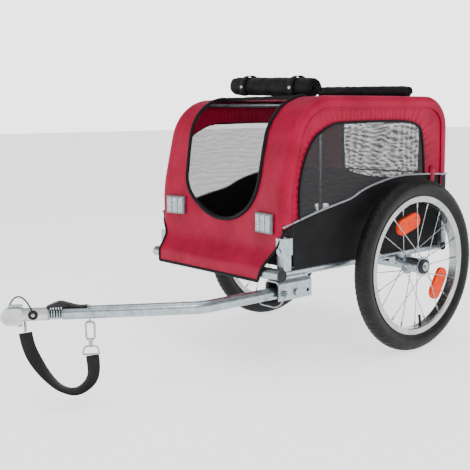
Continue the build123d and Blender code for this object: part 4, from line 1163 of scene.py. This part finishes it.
def dress_nodes():
    """Materials for the CAD pieces that stay, and small bevels on the ones with sharp edges."""
    finishes = {
        ZINC: [
            "side_rails", "front_cross_tube", "rear_cross_tube", "axle_tube", "axle_saddles", "hinge_bases",
            "hinge_pins", "drawbar_bracket", "pivot_bolt", "drawbar_tube", "lock_pin", "lock_bail",
            "hitch_spring", "strap_ring", "tube_eye", "hitch_pin", "side_hoop", "hinge_caps", "hub_shell",
        ],
        BRIGHT: ["wheel_axles", "spokes", "release_button", "strap_dring", "snap_hook", "hook_gate"],
        RIM: ["rim"],
        CAST: ["hitch_head"],
        RUBBER: ["hitch_core", "spring_cover", "inner_tube"],
        PLASTIC: ["tube_plugs", "drawbar_liner", "hub_bearings"],
        BLACK: ["floor_panel"],
        ORANGE: ["spoke_reflectors"],
    }
    softened = {
        "drawbar_bracket": 0.5, "hinge_bases": 0.4, "hinge_caps": 0.4, "hitch_head": 1.2, "tube_plugs": 0.6,
        "spoke_reflectors": 1.6, "pivot_bolt": 0.4, "hitch_pin": 0.6, "rim": 0.3, "axle_saddles": 0.5,
    }
    for finish, names in finishes.items():
        for node, obj in nodes.items():
            base = node.replace("_left", "").replace("_right", "")
            if base not in names:
                continue
            obj.data.materials.clear()
            obj.data.materials.append(finish)
            if base in softened:
                bevel = obj.modifiers.new("soft_edges", "BEVEL")
                bevel.width = softened[base] / 1000
                bevel.segments = 2
                bevel.limit_method = "ANGLE"
                bevel.angle_limit = math.radians(40)


# Stage ---


FLOOR_HALF = 30
FLOOR_Z = -0.0005

# Brightness of the studio round the part by height, as (share from below to above, level)
WORLD_STOPS = ((0.0, 1.0), (0.17, 1.0), (0.30, 0.10), (0.62, 0.13), (1.0, 0.30))
WORLD_STRENGTH = 3.2

# Name, place, size, power and colour
LAMPS = (
    ("key", (1.0, 2.2, 2.7), 1.5, 36, (1.0, 0.99, 0.97)),
    ("front", (3.2, -1.2, 1.9), 1.6, 14, (1.0, 1.0, 1.0)),
    ("top", (-0.4, 0.0, 3.2), 2.0, 22, (0.97, 0.98, 1.0)),
)
LAMP_TARGET = (-0.1, 0.0, 0.3)

# The camera of the photograph, fitted to the wheels and the frame
CAMERA_PLACE = (1500.0, 1408.4, 544.1)
CAMERA_YAW = math.radians(-129.70)
CAMERA_PITCH = math.radians(8.26)
CAMERA_ROLL = math.radians(-0.76)
CAMERA_LENS = 62.0


def aim(obj, target):
    obj.rotation_mode = "QUATERNION"
    obj.rotation_quaternion = (Vector(target) - obj.location).to_track_quat("-Z", "Y")


def make_floor():
    floor = bpy.data.meshes.new("floor")
    corners = [(x * FLOOR_HALF, y * FLOOR_HALF, FLOOR_Z) for x, y in ((-1, -1), (1, -1), (1, 1), (-1, 1))]
    floor.from_pydata(corners, [], [(0, 1, 2, 3)])
    floor.materials.append(pale_floor())
    ground = bpy.data.objects.new("floor", floor)
    collection.objects.link(ground)


def make_world():
    world = bpy.data.worlds.new("studio")
    bpy.context.scene.world = world
    world.use_nodes = True
    tree = world.node_tree
    split = tree.nodes.new("ShaderNodeSeparateXYZ")
    ramp = tree.nodes.new("ShaderNodeValToRGB")
    coords = tree.nodes.new("ShaderNodeTexCoord")
    tree.links.new(coords.outputs["Generated"], split.inputs["Vector"])
    tree.links.new(split.outputs["Z"], ramp.inputs["Fac"])
    tree.links.new(ramp.outputs["Color"], tree.nodes["Background"].inputs["Color"])
    for _ in WORLD_STOPS[2:]:
        ramp.color_ramp.elements.new(0.5)
    for element, (position, level) in zip(ramp.color_ramp.elements, WORLD_STOPS):
        element.position = position
        element.color = (level, level, level, 1)
    tree.nodes["Background"].inputs["Strength"].default_value = WORLD_STRENGTH


def make_lamps():
    for name, place, size, power, colour in LAMPS:
        data = bpy.data.lights.new(name, "AREA")
        data.shape = "DISK"
        data.size = size
        data.energy = power
        data.color = colour
        lamp = bpy.data.objects.new(name, data)
        lamp.location = place
        collection.objects.link(lamp)
        aim(lamp, LAMP_TARGET)


def make_camera():
    level = math.cos(CAMERA_PITCH)
    forward = Vector((level * math.cos(CAMERA_YAW), level * math.sin(CAMERA_YAW), -math.sin(CAMERA_PITCH)))
    right = Vector((math.sin(CAMERA_YAW), -math.cos(CAMERA_YAW), 0))
    up = right.cross(forward)
    side = right * math.cos(CAMERA_ROLL) + up * math.sin(CAMERA_ROLL)
    top = up * math.cos(CAMERA_ROLL) - right * math.sin(CAMERA_ROLL)
    turn = Matrix((side, top, -forward)).transposed().to_4x4()
    camera = bpy.data.objects.new("camera", bpy.data.cameras.new("camera"))
    camera.data.lens = CAMERA_LENS
    camera.data.sensor_width = 36.0
    camera.matrix_world = Matrix.Translation(at(*CAMERA_PLACE)) @ turn
    collection.objects.link(camera)
    bpy.context.scene.camera = camera


dress_nodes()
make_cover()
for side in (1, -1):
    make_side(side)
    make_tyre(side)
make_rolls()
make_markers()
make_strap()
make_hitch_details()
make_floor()
make_world()
make_lamps()
make_camera()
